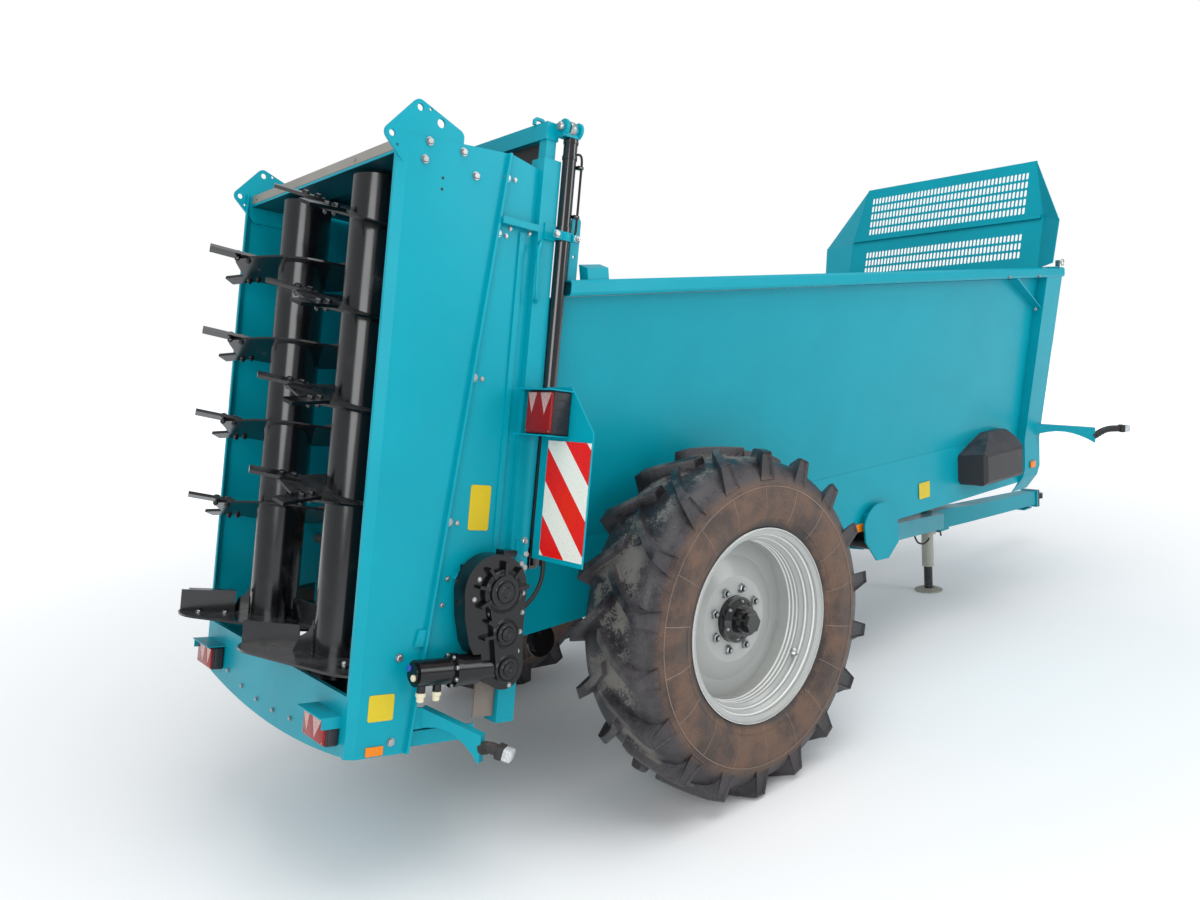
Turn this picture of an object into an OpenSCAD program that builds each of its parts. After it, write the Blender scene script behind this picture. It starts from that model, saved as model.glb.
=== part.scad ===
// Rear-discharge manure spreader with two upright beaters, on one axle.
// Forward is +X, the left side is +Y, up is +Z, and the ground is z = 0.
// The rear unit (beaters, side panels, door) leans forward and is drawn in its
// own frame: w runs forward, y to the left, u up along the lean.

/* [Wheels] */
// Width over the tyres
overall_w = 2550; // [2500:10:2700]
// Tyre diameter over the lugs
tyre_d = 1646; // [1600:2:1690]
// Tyre section width
tyre_w = 467; // [420:1:480]
// Rim diameter over its flanges
rim_d = 914; // [880:2:940]
// Height of the tread lugs
lug_h = 44; // [25:1:48]
// Lugs on each half of the tread
lug_count = 18; // [17:1:20]
// Wheel nuts on each hub
nut_count = 8; // [6:1:10]

/* [Body] */
// Front face of the body, ahead of the axle
body_front = 3800; // [3500:10:4000]
// Outer width at the floor
low_w = 1330; // [1260:5:1370]
// Outer width under the top rail
top_w = 1650; // [1600:5:1660]
// Height of the load floor
floor_z = 1262; // [1240:1:1280]
// Underside of the chassis girders
girder_z = 900; // [885:1:910]
// Underside of the top rail
rail_z = 2388; // [2200:1:2450]
// Height of the top rail section
rail_h = 68; // [50:1:90]
// Width of the top rail section
rail_w = 76; // [60:1:90]
// Body sheet thickness
sheet = 5; // [3:0.5:8]
// Chassis plate thickness
plate = 8; // [6:0.5:12]

/* [Front screen] */
// Top of the screen above the ground
screen_top_z = 3235; // [3000:5:3300]
// Forward lean of the screen
screen_lean = 15; // [8:0.5:20]
// Slots in a row
slot_cols = 45; // [30:1:45]
// Slot width
slot_w = 19; // [10:1:20]
// Slot height
slot_h = 50; // [30:1:56]

/* [Rear unit] */
// Forward lean
lean = 11.5; // [8:0.5:14]
// Rear foot of the side panels, behind the axle
foot_x = 1895; // [1850:5:1950]
// Rear foot of the side panels, above the ground
foot_z = 690; // [660:5:720]
// Half width over the side panels
panel_y = 820; // [800:1:840]
// Side panel thickness
panel_t = 6; // [4:0.5:8]
// Side panel height at its rear edge
panel_h = 2392; // [2300:1:2420]

/* [Beaters] */
// Distance of each beater axis from the middle
beater_y = 372; // [370:1:378]
// Beater axis ahead of the panels' rear edge
beater_w = 150; // [148:1:156]
// Beater tube diameter
tube_d = 224; // [200:2:230]
// Blade tip radius
blade_r = 425; // [400:1:426]
// Bottom disc radius over its corners
disc_r = 420; // [400:1:424]
// Height of the lower disc along the lean
disc_u = 300; // [290:1:320]
// Tilt of the flights
flight_tilt = 20; // [12:1:22]

/* [Door] */
// Centre plane of the door in the rear unit
door_w = 692; // [690:1:700]
// Lowest edge of the closed door along the lean
door_low_u = 782; // [778:1:800]
// Opening travel of the door
door_travel = 1400; // [1000:10:1400]
// Cylinder barrel diameter
barrel_d = 60; // [56:1:62]
// Cylinder rod diameter
rod_d = 36; // [30:1:40]

/* [Drawbar] */
// Towing eye centre ahead of the axle
eye_x = 5215; // [5000:5:5400]
// Towing eye centre height
eye_z = 470; // [450:5:520]
// Towing eye bore
eye_bore = 50; // [40:1:60]
// Drawbar pivot ahead of the axle
pivot_x = 1765; // [1700:5:1850]
// Jack ahead of the axle
jack_x = 3410; // [3300:5:3600]
// Jack travel
jack_travel = 160; // [100:5:160]

/* [Hidden] */
$fn = 48;

cover = 1;
gap = 0.3;
moving_gap = 6;

wheel_y = overall_w / 2 - tyre_w / 2;
axle_z = tyre_d / 2;
// The body's heights are drawn for this height of the axle, and rise with it
drawn_axle_z = 823;
lift = axle_z - drawn_axle_z;
rim_half = 200;

// The row's origin is under the middle of the whole length.
eye_outer_r = 52;
front_reach = eye_x + eye_outer_r;
disc_corner_r = 160;
disc_step = 30;
disc_turn_right = 140;
disc_turn_left = 160;
rear_reach = foot_x - (disc_u + disc_step) * sin(lean)
    + ((disc_r - disc_corner_r) * -cos(disc_turn_left) + disc_corner_r - beater_w) * cos(lean);
axle_x = (rear_reach - front_reach) / 2;

// Places in the rear unit turned into places of the machine
function unit_x(w, u) = -foot_x + w * cos(lean) + u * sin(lean);
function unit_z(w, u) = foot_z - w * sin(lean) + u * cos(lean);
function unit_u(w, z) = (z - foot_z + w * sin(lean)) / cos(lean);

module from_axle() {
    translate([axle_x, 0, lift]) children();
}

module rear_unit() {
    from_axle() translate([-foot_x, 0, foot_z]) rotate([0, lean, 0]) children();
}

module right_side() {
    children();
}

module left_side() {
    mirror([0, 1, 0]) children();
}

module both_sides() {
    right_side() children();
    left_side() children();
}

// A plate drawn in the machine's x and z, from y0 inwards by t towards +y
module side_plate(y0, t) {
    translate([0, y0 + t, 0]) rotate([90, 0, 0]) linear_extrude(t) children();
}

// A plate drawn in y and z, standing across the machine, from x0 forward by t
module cross_plate(x0, t) {
    translate([x0, 0, 0]) rotate([90, 0, 90]) linear_extrude(t) children();
}

module tube(d_out, d_in, h) {
    difference() {
        cylinder(d = d_out, h = h);
        translate([0, 0, -cover]) cylinder(d = d_in, h = h + 2 * cover);
    }
}

// A square bar from p to q
module bar(p, q, wide, high) {
    v = q - p;
    translate(p) rotate([0, -atan2(v[2], norm([v[0], v[1]])), atan2(v[1], v[0])])
        translate([0, -wide / 2, -high / 2]) cube([norm(v), wide, high]);
}

// Outline of a folded sheet: the line of points, thickened to its left by t
function unit2(v) = v / norm(v);
function left2(v) = [-v[1], v[0]];
function mitre(p, i, t) =
    let (n = len(p),
         a = left2(unit2(i == 0 ? p[1] - p[0] : p[i] - p[i - 1])),
         b = left2(unit2(i == n - 1 ? p[n - 1] - p[n - 2] : p[i + 1] - p[i])),
         m = unit2(a + b))
    p[i] + m * t / (m * a);
function folded(p, t) = concat(p, [for (i = [len(p) - 1 : -1 : 0]) mitre(p, i, t)]);

function arc(c, r, a0, a1, n) = [for (i = [0 : n]) c + r * [cos(a0 + (a1 - a0) * i / n),
    sin(a0 + (a1 - a0) * i / n)]];

// Body cross section, right half as y and z
crease_z = 1280;
low_y = low_w / 2;
top_y = top_w / 2;
function side_y(z) = low_y + (top_y - low_y) * (z - crease_z) / (rail_z - crease_z);

// Everything behind a plane across the rear unit, to trim the body's rear end to the lean
module behind_plane(w) {
    translate([-foot_x, 0, foot_z]) rotate([0, lean, 0])
        translate([w - 1500, -1500, -500]) cube([1500, 3000, 3500]);
}

/* Body */

stiff_l = 225;
stiff_low_z = 820;

module side() {
    color([0.07, 0.62, 0.70]) difference() {
        union() {
            translate([-1500, 0, 0]) cross_plate(0, body_front + 1500)
                polygon(folded([[-low_y, crease_z], [-top_y, rail_z]], -sheet));
            front_stiffener();
            rail_gusset();
        }
        behind_plane(post_w1 + gap);
    }
}

// Folded upright at the front corner: deep under the rail, flush at the bottom
module front_stiffener() {
    outer_top = top_y + rail_w - 6;
    outer_mid = low_y + 52;
    outline = [[-(low_y - 50), stiff_low_z], [-(low_y + 32), 930], [-outer_mid, 1000],
        [-outer_mid, 1215], [-outer_top, rail_z], [-(top_y - 2), rail_z],
        [-(low_y - 2), crease_z], [-(low_y - 2), 905]];
    outer = [[-(low_y - 50), stiff_low_z], [-(low_y + 32), 930], [-outer_mid, 1000],
        [-outer_mid, 1215], [-outer_top, rail_z]];
    cross_plate(body_front - stiff_l, sheet) polygon(outline);
    cross_plate(body_front - stiff_l, stiff_l) polygon(folded(outer, -sheet));
    cross_plate(body_front - sheet, sheet) polygon(outline);
}

// Sloping bracket that carries the rail into the front stiffener
module rail_gusset() {
    drop = 215;
    run = 420;
    x1 = body_front - stiff_l;
    intersection() {
        side_plate(-(top_y + rail_w - 6), rail_w + 60) polygon([[x1 - run, rail_z],
            [x1 - run + 12, rail_z], [x1, rail_z - drop + 6], [x1, rail_z - drop],
            [x1 - run - 2, rail_z - 4]]);
        cross_plate(x1 - run - 10, run + 20) polygon([[-(top_y + rail_w - 6), rail_z],
            [-top_y + sheet, rail_z], [-side_y(rail_z - drop) + sheet, rail_z - drop],
            [-(side_y(rail_z - drop) + 55), rail_z - drop]]);
    }
}

module rail() {
    chamfer = 12;
    y0 = -top_y;
    y1 = -(top_y + rail_w);
    z0 = rail_z + 1;
    z1 = rail_z + rail_h;
    outer = [[y0, z0], [y1 + chamfer / 2, z0], [y1, z0 + chamfer], [y1, z1 - chamfer],
        [y1 + chamfer, z1], [y0 + sheet, z1], [y0 + sheet, z0]];
    inner = [[y0, z0 + sheet], [y1 + sheet + 4, z0 + sheet], [y1 + sheet, z0 + chamfer],
        [y1 + sheet, z1 - chamfer - 2], [y1 + chamfer + 3, z1 - sheet], [y0, z1 - sheet]];
    color([0.07, 0.62, 0.70]) difference() {
        union() {
            cross_plate(-1500, body_front + 1500 + 30) difference() {
                polygon(outer);
                polygon(inner);
            }
            // Upright lug for the cylinder's trunnion, and its gusset
            translate([-foot_x, 0, foot_z]) rotate([0, lean, 0]) {
                translate([830, y0 - 8, 0]) rotate([90, 0, 0]) linear_extrude(8) {
                    translate([0, 1960]) square([48, 270]);
                    translate([24, 2230]) circle(r = 24);
                }
            }
            cross_plate(unit_x(900, 2050), 120) polygon([[y0, z1 - 1], [y1 + 20, z1 - 1],
                [y1 + 20, z1 + 50], [y0, z1 + 70]]);
        }
        behind_plane(rail_end_w);
        translate([-foot_x, 0, foot_z]) rotate([0, lean, 0])
            translate([854, y0, 2080]) rotate([90, 0, 0]) cylinder(d = 14, h = 40, center = true);
    }
}

floor_half_w = low_y - plate - gap;

module floor_plate() {
    floor_t = 22;
    color([0.25, 0.27, 0.27]) from_axle()
        translate([floor_rear_x, -floor_half_w, floor_z - floor_t])
        cube([floor_front_x - floor_rear_x, 2 * floor_half_w, floor_t]);
}

// Inner face of a flared side, measured level
sheet_in = sheet / cos(atan((top_y - low_y) / (rail_z - crease_z)));

module front_wall() {
    rib_z = [for (k = [1 : 3]) crease_z + k * (rail_z - crease_z) / 4 - 60];
    top_in = top_y - sheet_in;
    color([0.07, 0.62, 0.70]) from_axle() {
        difference() {
            cross_plate(body_front - sheet - 3, sheet) polygon([
                [-(low_y - 2), girder_z + 30], [low_y - 2, girder_z + 30],
                [low_y - 2, crease_z - 1], [low_y - sheet_in, crease_z - 1],
                [low_y - sheet_in, crease_z], [top_in, rail_z], [-top_in, rail_z],
                [-(low_y - sheet_in), crease_z], [-(low_y - sheet_in), crease_z - 1],
                [-(low_y - 2), crease_z - 1]]);
            translate([body_front - 100, 0, line_z]) rotate([0, 90, 0]) cylinder(d = 90, h = 200);
        }
        // Sloping cover over the front end of the floor chains
        side_plate(-floor_half_w, 2 * floor_half_w) polygon([[body_front - 7, 1400],
            [body_front - 7, 1392], [floor_front_x + 10, 1304], [floor_front_x, 1304]]);
        for (z = rib_z)
            translate([body_front - 4, -(low_y - 10), z]) cube([34, 2 * (low_y - 10), 60]);
        // Top beam of the wall, level with the side rails
        cross_plate(body_front - 63, 60) polygon([[-(top_in - 1), rail_z - 1],
            [top_in - 1, rail_z - 1], [top_y - sheet, rail_z + 1],
            [top_y - sheet, rail_z + rail_h], [-(top_y - sheet), rail_z + rail_h],
            [-(top_y - sheet), rail_z + 1]]);
    }
}

/* Front screen */

screen_sheet = 4;
screen_base_z = rail_z + rail_h;
screen_x = body_front - 190;
screen_len = (screen_top_z - screen_base_z) / cos(screen_lean);
fold_s = screen_len * 0.47;
screen_top_y = top_y - 110;
screen_fold_y = top_y - 10;

// Seen square on: s runs up the leaning sheet
module screen_sheet_outline() {
    polygon([[-screen_fold_y, 0], [screen_fold_y, 0], [screen_fold_y, fold_s],
        [screen_top_y, screen_len], [-screen_top_y, screen_len], [-screen_fold_y, fold_s]]);
}

module slot_field(s0, rows) {
    pitch_y = 2 * (screen_top_y - 47) / slot_cols;
    pitch_s = 65;
    for (c = [0 : slot_cols - 1])
        for (r = [0 : rows - 1])
            translate([(c - (slot_cols - 1) / 2) * pitch_y, s0 + r * pitch_s]) {
                translate([-slot_w / 2, slot_w / 2]) square([slot_w, slot_h - slot_w]);
                translate([0, slot_w / 2]) circle(d = slot_w, $fn = 16);
                translate([0, slot_h - slot_w / 2]) circle(d = slot_w, $fn = 16);
            }
}

module front_screen() {
    color([0.10, 0.64, 0.72]) from_axle() {
        translate([screen_x, 0, screen_base_z]) rotate([0, screen_lean, 0]) {
            rotate([90, 0, 90]) linear_extrude(screen_sheet) difference() {
                screen_sheet_outline();
                slot_field(fold_s + 38, 5);
                slot_field(90, 3);
            }
            // Pressed step between the two fields of slots
            translate([-18, -(screen_fold_y - 20), fold_s - 14]) cube([19, 2 * (screen_fold_y - 20), 28]);
            both_sides() screen_wing();
            both_sides() screen_cheek();
        }
        both_sides() translate([screen_x - 10, -(top_y + 70), screen_base_z])
            cube([170, 90, 6]);
    }
}

// Folded wing at the side of the screen, turned back towards the load
wing_turn = 34;
wing_w = 205;
wing_top = fold_s - 75;

module screen_wing() {
    translate([0, -screen_fold_y, 0]) rotate([0, 0, 90 - wing_turn])
        rotate([90, 0, 0]) translate([0, 0, -screen_sheet])
        linear_extrude(screen_sheet)
            polygon([[-wing_w * 0.9, 0], [4, 0], [4, fold_s - 4], [-wing_w, wing_top]]);
}

// Three-cornered cheek that closes the fold between the wing and the leaning panel
module screen_cheek() {
    a = [-wing_w * sin(wing_turn), -screen_fold_y - wing_w * cos(wing_turn), wing_top - 8];
    b = [2, -screen_fold_y + 2, fold_s - 12];
    c = [2, -screen_top_y + 2, screen_len - 3];
    d = cross(c - a, b - a) / norm(cross(c - a, b - a)) * screen_sheet;
    polyhedron([a, c, b, a + d, c + d, b + d],
        [[0, 1, 2], [5, 4, 3], [0, 3, 4, 1], [1, 4, 5, 2], [2, 5, 3, 0]]);
}

/* Chassis */

module girder() {
    flange = 80;
    z0 = girder_z;
    z1 = crease_z;
    color([0.07, 0.62, 0.70]) difference() {
        cross_plate(-1500, body_front + 1500 - sheet - 5)
            polygon(folded([[-(low_y - flange), z0], [-low_y, z0], [-low_y, z1 - 1],
                [-(low_y - sheet - 3), z1 - 1]], -plate));
        behind_plane(post_w1 + gap);
        // Cut away where the folded front upright closes the corner
        translate([body_front - stiff_l - 1, -low_y - 1, z0 - 50]) cube([stiff_l, 12, 600]);
    }
}

cross_x = [-640, 330, 1200, 2080, 2960, 3660];
cross_low_z = 1030;
cross_h = 70;

module cross_members() {
    color([0.07, 0.62, 0.70]) from_axle() for (x = cross_x)
        translate([x - 40, -(low_y - plate - gap), cross_low_z])
            cube([80, 2 * (low_y - plate - gap), cross_h]);
}

module axle_beam() {
    side = 120;
    spindle_d = 90;
    seat_x = 240;
    color([0.10, 0.10, 0.11]) from_axle() {
        translate([-side / 2, -(wheel_y - 175), drawn_axle_z - side / 2])
            cube([side, 2 * (wheel_y - 175), side]);
        both_sides() {
            translate([0, -(wheel_y - 176), drawn_axle_z]) rotate([90, 0, 0])
                cylinder(d = spindle_d, h = 120);
            // Seat between the axle and the girder, with its side gussets
            translate([-seat_x / 2, -(low_y - 5), drawn_axle_z + side / 2 - 1])
                cube([seat_x, 130, girder_z - drawn_axle_z - side / 2 + 1]);
            for (x = [-side / 2 - 14, side / 2])
                translate([x, -(low_y - 20), drawn_axle_z - side / 2])
                    cube([14, 90, girder_z - drawn_axle_z + side / 2]);
        }
    }
}

// Diaphragm brake cylinders under the body, behind the axle
module brake_cylinders() {
    color([0.06, 0.06, 0.06]) from_axle() both_sides()
        translate([-800, -(low_y - 42), girder_z - 76]) {
            rotate([90, 0, 0]) translate([0, 0, -60]) {
                cylinder(d = 120, h = 55);
                translate([0, 0, 24]) cylinder(d = 150, h = 12);
            }
            translate([-25, -10, 40]) cube([50, 50, 36]);
        }
}

/* Wheels */

// Half section of the tyre as radius and side offset
module tyre_section() {
    base_r = tyre_d / 2 - lug_h;
    bead_r = rim_d / 2 - 24;
    half = tyre_w / 2;
    polygon([[bead_r, -rim_half + 12], [bead_r + 50, -rim_half - 8], [bead_r + 150, -half],
        [bead_r + 245, -half + 8], [base_r - 42, -half + 34], [base_r, -half * 0.52],
        [base_r + 4, 0], [base_r, half * 0.52], [base_r - 42, half - 34],
        [bead_r + 245, half - 8], [bead_r + 150, half], [bead_r + 50, rim_half + 8],
        [bead_r, rim_half - 12]]);
}

// A tread lug from the middle of the tread round the shoulder, where it ends in a buttress
// Stations: side offset of foot and top, how far round (mm), radius of foot and top, half
// width of foot and top
function lug_stations() =
    let (top = tyre_d / 2, foot = top - lug_h, half = tyre_w / 2)
    [[-12, -12, 20, foot - 14, top, 38, 27],
     [half * 0.22, half * 0.22, 86, foot - 14, top, 33, 22],
     [half * 0.49, half * 0.49, 137, foot - 20, top - 1, 32, 21],
     [half * 0.75, half * 0.75, 186, foot - 40, top - 4, 35, 24],
     [half * 0.90, half * 0.925, 207, foot - 85, top - 12, 40, 27],
     [half * 0.955, half * 0.96, 207, foot - 110, foot - 89, 52, 46]];

module lug() {
    st = lug_stations();
    n = len(st);
    function at(s, round, r) = [-r * sin(round / (tyre_d / 2) * 180 / PI), -s,
        r * cos(round / (tyre_d / 2) * 180 / PI)];
    points = [for (q = st) each [at(q[0], q[2] - q[5], q[3]), at(q[0], q[2] + q[5], q[3]),
        at(q[1], q[2] + q[6], q[4]), at(q[1], q[2] - q[6], q[4])]];
    sides = [for (i = [0 : n - 2]) for (k = [0 : 3])
        each [[4 * i + k, 4 * i + (k + 1) % 4, 4 * i + 4 + (k + 1) % 4],
              [4 * i + k, 4 * i + 4 + (k + 1) % 4, 4 * i + 4 + k]]];
    last = 4 * (n - 1);
    polyhedron(points, concat([[3, 2, 1, 0]], sides,
        [[last, last + 1, last + 2, last + 3]]));
}

module at_wheel() {
    translate([axle_x, -wheel_y, axle_z]) children();
}

// Turns a revolved section so that its axis lies across the machine
module across() {
    rotate([90, 0, 0]) children();
}

module tyre() {
    pitch = 360 / lug_count;
    color([0.10, 0.09, 0.09]) at_wheel() {
        across() rotate_extrude($fn = 96) tyre_section();
        for (i = [0 : lug_count - 1]) {
            rotate([0, i * pitch, 0]) lug();
            rotate([0, (i + 0.5) * pitch, 0]) mirror([0, 1, 0]) lug();
        }
    }
}

disc_out = 28;
hub_bolt_r = 150;

module rim() {
    r = rim_d / 2;
    t = 7;
    color([0.80, 0.82, 0.82]) at_wheel() across() {
        rotate_extrude($fn = 96) polygon(folded([[r, rim_half + 6], [r - 4, rim_half - 4 + gap],
            [r - 24 - gap, rim_half - 12 + gap], [r - 28, 160], [r - 44, 150], [r - 47, 118],
            [r - 62, 108], [r - 66, 40], [r - 66, -40], [r - 62, -108], [r - 47, -118],
            [r - 28, -160], [r - 24 - gap, -rim_half + 12 - gap],
            [r - 4, -rim_half + 4 - gap], [r, -rim_half - 6]], -t));
        // Dished disc with its hub hole and nut holes
        difference() {
            rotate_extrude($fn = 96) polygon(folded([[112, disc_out - 8], [205, disc_out - 8],
                [235, disc_out - 20], [300, disc_out - 44], [r - 72, disc_out - 56]], 10));
            for (i = [0 : nut_count - 1]) rotate([0, 0, (i + 0.5) * 360 / nut_count])
                translate([hub_bolt_r, 0, -50]) cylinder(d = 24, h = 120);
        }
    }
}

module hub() {
    spindle_d = 90;
    color([0.08, 0.08, 0.09]) at_wheel() across() {
        difference() {
            union() {
                // Brake drum, flange, barrel and stepped cap
                translate([0, 0, -160]) cylinder(d = 340, h = 140);
                translate([0, 0, -20]) cylinder(d = 336, h = 36);
                cylinder(d = 220, h = 60);
                translate([0, 0, 60]) cylinder(d1 = 200, d2 = 150, h = 22);
                translate([0, 0, 82]) cylinder(d = 128, h = 44);
                translate([0, 0, 126]) cylinder(d = 100, h = 12);
                translate([0, 0, 138]) cylinder(d = 96, h = 16, $fn = 6);
            }
            translate([0, 0, -161]) cylinder(d = spindle_d + 0.6, h = 120);
        }
        for (i = [0 : nut_count - 1]) rotate([0, 0, (i + 0.5) * 360 / nut_count])
            translate([hub_bolt_r, 0, 0]) {
                cylinder(d = 22, h = 58);
                translate([0, 0, disc_out + gap - 8 + 10]) cylinder(d = 34, h = 20, $fn = 6);
            }
    }
}

/* Conveyor */

shaft_w = 540;
shaft_u = 650;
shaft_x = unit_x(shaft_w, shaft_u);
shaft_z = unit_z(shaft_w, shaft_u);
chain_y = 430;
chain_t = 22;
chain_z = floor_z + gap + chain_t / 2;
sprocket_r = chain_z - shaft_z;
floor_rear_x = shaft_x + sprocket_r + 30;
idler_x = body_front - 150;
floor_front_x = idler_x - sprocket_r - 30;
slat_pitch = 380;
slat_h = 34;
slat_half_w = low_y - 18;

module strand(z) {
    both_sides() translate([shaft_x, -chain_y - 18, z - chain_t / 2])
        cube([idler_x - shaft_x, 36, chain_t]);
}

module slats(z, x0, x1) {
    for (x = [x0 : slat_pitch : x1])
        translate([x, -slat_half_w, z - chain_t / 2]) cube([60, 2 * slat_half_w, slat_h]);
}

module conveyor_top() {
    color([0.35, 0.33, 0.31]) from_axle() {
        strand(chain_z);
        slats(chain_z, shaft_x + 40, floor_front_x - 70);
    }
}

module conveyor_return() {
    z = shaft_z - sprocket_r;
    color([0.35, 0.33, 0.31]) from_axle() {
        strand(z);
        slats(z - slat_h + chain_t, shaft_x + 160, idler_x - 100);
    }
}

// Chain wheel with round seats for the links
module sprocket() {
    teeth = 9;
    difference() {
        cylinder(r = sprocket_r - chain_t / 2 - gap, h = 34, center = true);
        for (i = [0 : teeth - 1]) rotate([0, 0, i * 360 / teeth])
            translate([sprocket_r - chain_t / 2 + 4, 0, 0])
                cylinder(d = 15, h = 40, center = true, $fn = 16);
    }
}

module sprocket_shaft(half_l, d) {
    rotate([90, 0, 0]) {
        translate([0, 0, -half_l]) cylinder(d = d, h = 2 * half_l);
        for (s = [-1, 1]) translate([0, 0, s * chain_y]) sprocket();
    }
}

module conveyor_drive_shaft() {
    color([0.30, 0.30, 0.31]) from_axle() translate([shaft_x, 0, shaft_z])
        sprocket_shaft(panel_y - panel_t - gap, 45);
}

module conveyor_idler() {
    color([0.30, 0.30, 0.31]) from_axle() translate([idler_x, 0, shaft_z])
        sprocket_shaft(low_y - plate - gap, 45);
}

/* Drawbar */

bracket_y = low_y + 34;

module pivot_bracket() {
    r = 190;
    color([0.07, 0.62, 0.70]) from_axle() {
        side_plate(-bracket_y - 10, 10) polygon(concat(
            arc([pivot_x - 5, 865], r, 25, 155, 12),
            [[pivot_x - r + 18, 835], [pivot_x - 65, 700], [pivot_x + 60, 690],
             [pivot_x + r - 16, 775]]));
        translate([pivot_x - 130, -bracket_y, girder_z + 10]) cube([260, bracket_y - low_y, 90]);
        translate([pivot_x, -bracket_y, 800]) rotate([90, 0, 0]) translate([0, 0, -34])
            tube(150, 111, 34);
    }
}

module drawbar_pivot() {
    color([0.06, 0.06, 0.06]) from_axle() translate([pivot_x, 0, 800]) rotate([90, 0, 0])
        cylinder(d = 110, h = 2 * bracket_y, center = true);
}

beam_rear_x = 3060;
arm_join_y = 88;
beam_w = 170;

module drawbar_arm() {
    color([0.07, 0.62, 0.70]) from_axle() difference() {
        bar([pivot_x - 10, -520, 798], [beam_rear_x + 300, -arm_join_y - 40, 588], 90, 120);
        translate([pivot_x, 0, 800]) rotate([90, 0, 0])
            cylinder(d = 110 + 2 * gap, h = 1500, center = true);
        translate([beam_rear_x, -beam_w / 2 - gap, 300]) cube([600, 400, 600]);
    }
}

// Tapering box beam, drawn from the side, with the jack's clamp and the nose plate
module drawbar_beam() {
    nose_x = eye_x - 125;
    color([0.07, 0.62, 0.70]) from_axle() {
        difference() {
            side_plate(-beam_w / 2, beam_w) polygon([[beam_rear_x, 655], [beam_rear_x + 560, 640],
                [beam_rear_x + 900, 600], [nose_x, eye_z + 66], [nose_x, eye_z - 54],
                [beam_rear_x + 600, 486], [beam_rear_x, 520]]);
            translate([jack_x, 0, 300]) cylinder(d = jack_d + 2 * gap, h = 500);
            // Tapered in plan towards the nose
            for (m = [0, 1]) mirror([0, m, 0]) translate([0, 0, 300]) linear_extrude(500)
                polygon([[beam_rear_x + 900, beam_w / 2], [nose_x + 5, 62],
                    [nose_x + 5, beam_w]]);
        }
        translate([nose_x - 20, -75, eye_z - 75]) cube([20, 150, 150]);
        // Toolbar plate under the nose for hoses
        translate([nose_x - 190, -45, eye_z - 80]) cube([130, 90, 12]);
        translate([nose_x - 160, -6, eye_z - 70]) cube([60, 12, 30]);
        translate([jack_x + 70, -60, 462]) cube([150, 120, 26]);
    }
}

module towing_eye() {
    color([0.12, 0.12, 0.13]) from_axle() difference() {
        union() {
            translate([eye_x - 125, -75, eye_z - 75]) cube([25, 150, 150]);
            translate([eye_x - 105, -32, eye_z - 28]) cube([80, 64, 56]);
            translate([eye_x, 0, eye_z - 22]) cylinder(r = eye_outer_r, h = 44);
        }
        translate([eye_x, 0, eye_z - 60]) cylinder(d = eye_bore, h = 120);
        for (y = [-52, 52]) for (z = [-52, 52])
            translate([eye_x - 130, y, eye_z + z]) rotate([0, 90, 0]) cylinder(d = 17, h = 40);
    }
}

jack_d = 90;
leg_d = 66;
barrel_low_z = 200;

module jack_barrel() {
    color([0.62, 0.62, 0.55]) from_axle() translate([jack_x, 0, 0]) difference() {
        union() {
            translate([0, 0, barrel_low_z]) cylinder(d = jack_d, h = 520);
            translate([0, 0, 462]) cylinder(d = jack_d + 40, h = 24);
        }
        translate([0, 0, barrel_low_z - 1]) cylinder(d = leg_d + 2 * gap, h = 500);
    }
}

module jack_leg() {
    foot_d = 210;
    color([0.08, 0.08, 0.08]) from_axle() translate([jack_x, 0, -lift]) {
        cylinder(d = foot_d, h = 10);
        translate([0, 0, 9]) cylinder(d1 = foot_d, d2 = leg_d + 30, h = 16);
        translate([0, 0, 20]) cylinder(d = leg_d, h = 500 + lift);
    }
}

/* Rear unit */

post_w0 = 650;
post_w1 = 738;
post_y0 = 760;
post_y1 = 850;
post_top_u = 2460;
rail_end_w = 812;
cylinder_w = 772;
cylinder_y = 860;
flange_y = 781;
lamp_w = post_w1 - 8;
lamp_u0 = 1297;
lamp_u1 = 1478;
plate_y0 = cylinder_y + 34;
// Line of the raised joint between the two sheets of a rear panel
function joint_w(u) = 258 + 0.0993 * u;
panel_low_u = 300;
trunnion_u = 2155;

// Side outline of the rear panel as w and u
function panel_outline() = [[0, 0], [joint_w(0), 0], [joint_w(panel_low_u), panel_low_u],
    [post_w0 - gap, panel_low_u], [post_w0 - gap, 2410], [508, 2438], [0, panel_h]];

module rear_panel() {
    fold = 36;
    color([0.07, 0.62, 0.70]) rear_unit() {
        intersection() {
            linear_extrude(3000) polygon(folded([[post_w0 - gap, -panel_y], [fold, -panel_y],
                [0, -panel_y + 22], [0, -flange_y]], -panel_t));
            side_plate(-panel_y - 10, 90) polygon(panel_outline());
        }
        // Raised joint between the two sheets, and the rib before the post
        side_plate(-panel_y - 20, 21) polygon([[joint_w(0) - 12, 0], [joint_w(0) - 1, 0],
            [joint_w(2436) - 1, 2436], [joint_w(2436) - 12, 2436]]);
        side_plate(-panel_y - 10, 11) polygon([[575, panel_low_u], [600, panel_low_u],
            [600, 2130], [575, 2130]]);
        // Angle across the top of the front sheet
        side_plate(-panel_y - 34, 35) polygon([[joint_w(2150), 2144], [post_w0 - 1, 2144],
            [post_w0 - 1, 2150], [joint_w(2150), 2150]]);
        side_plate(-panel_y - 34, 6) polygon([[joint_w(2150), 2144], [post_w0 - 1, 2144],
            [post_w0 - 1, 2172], [joint_w(2150), 2172]]);
        lifting_ear();
    }
}

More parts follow.
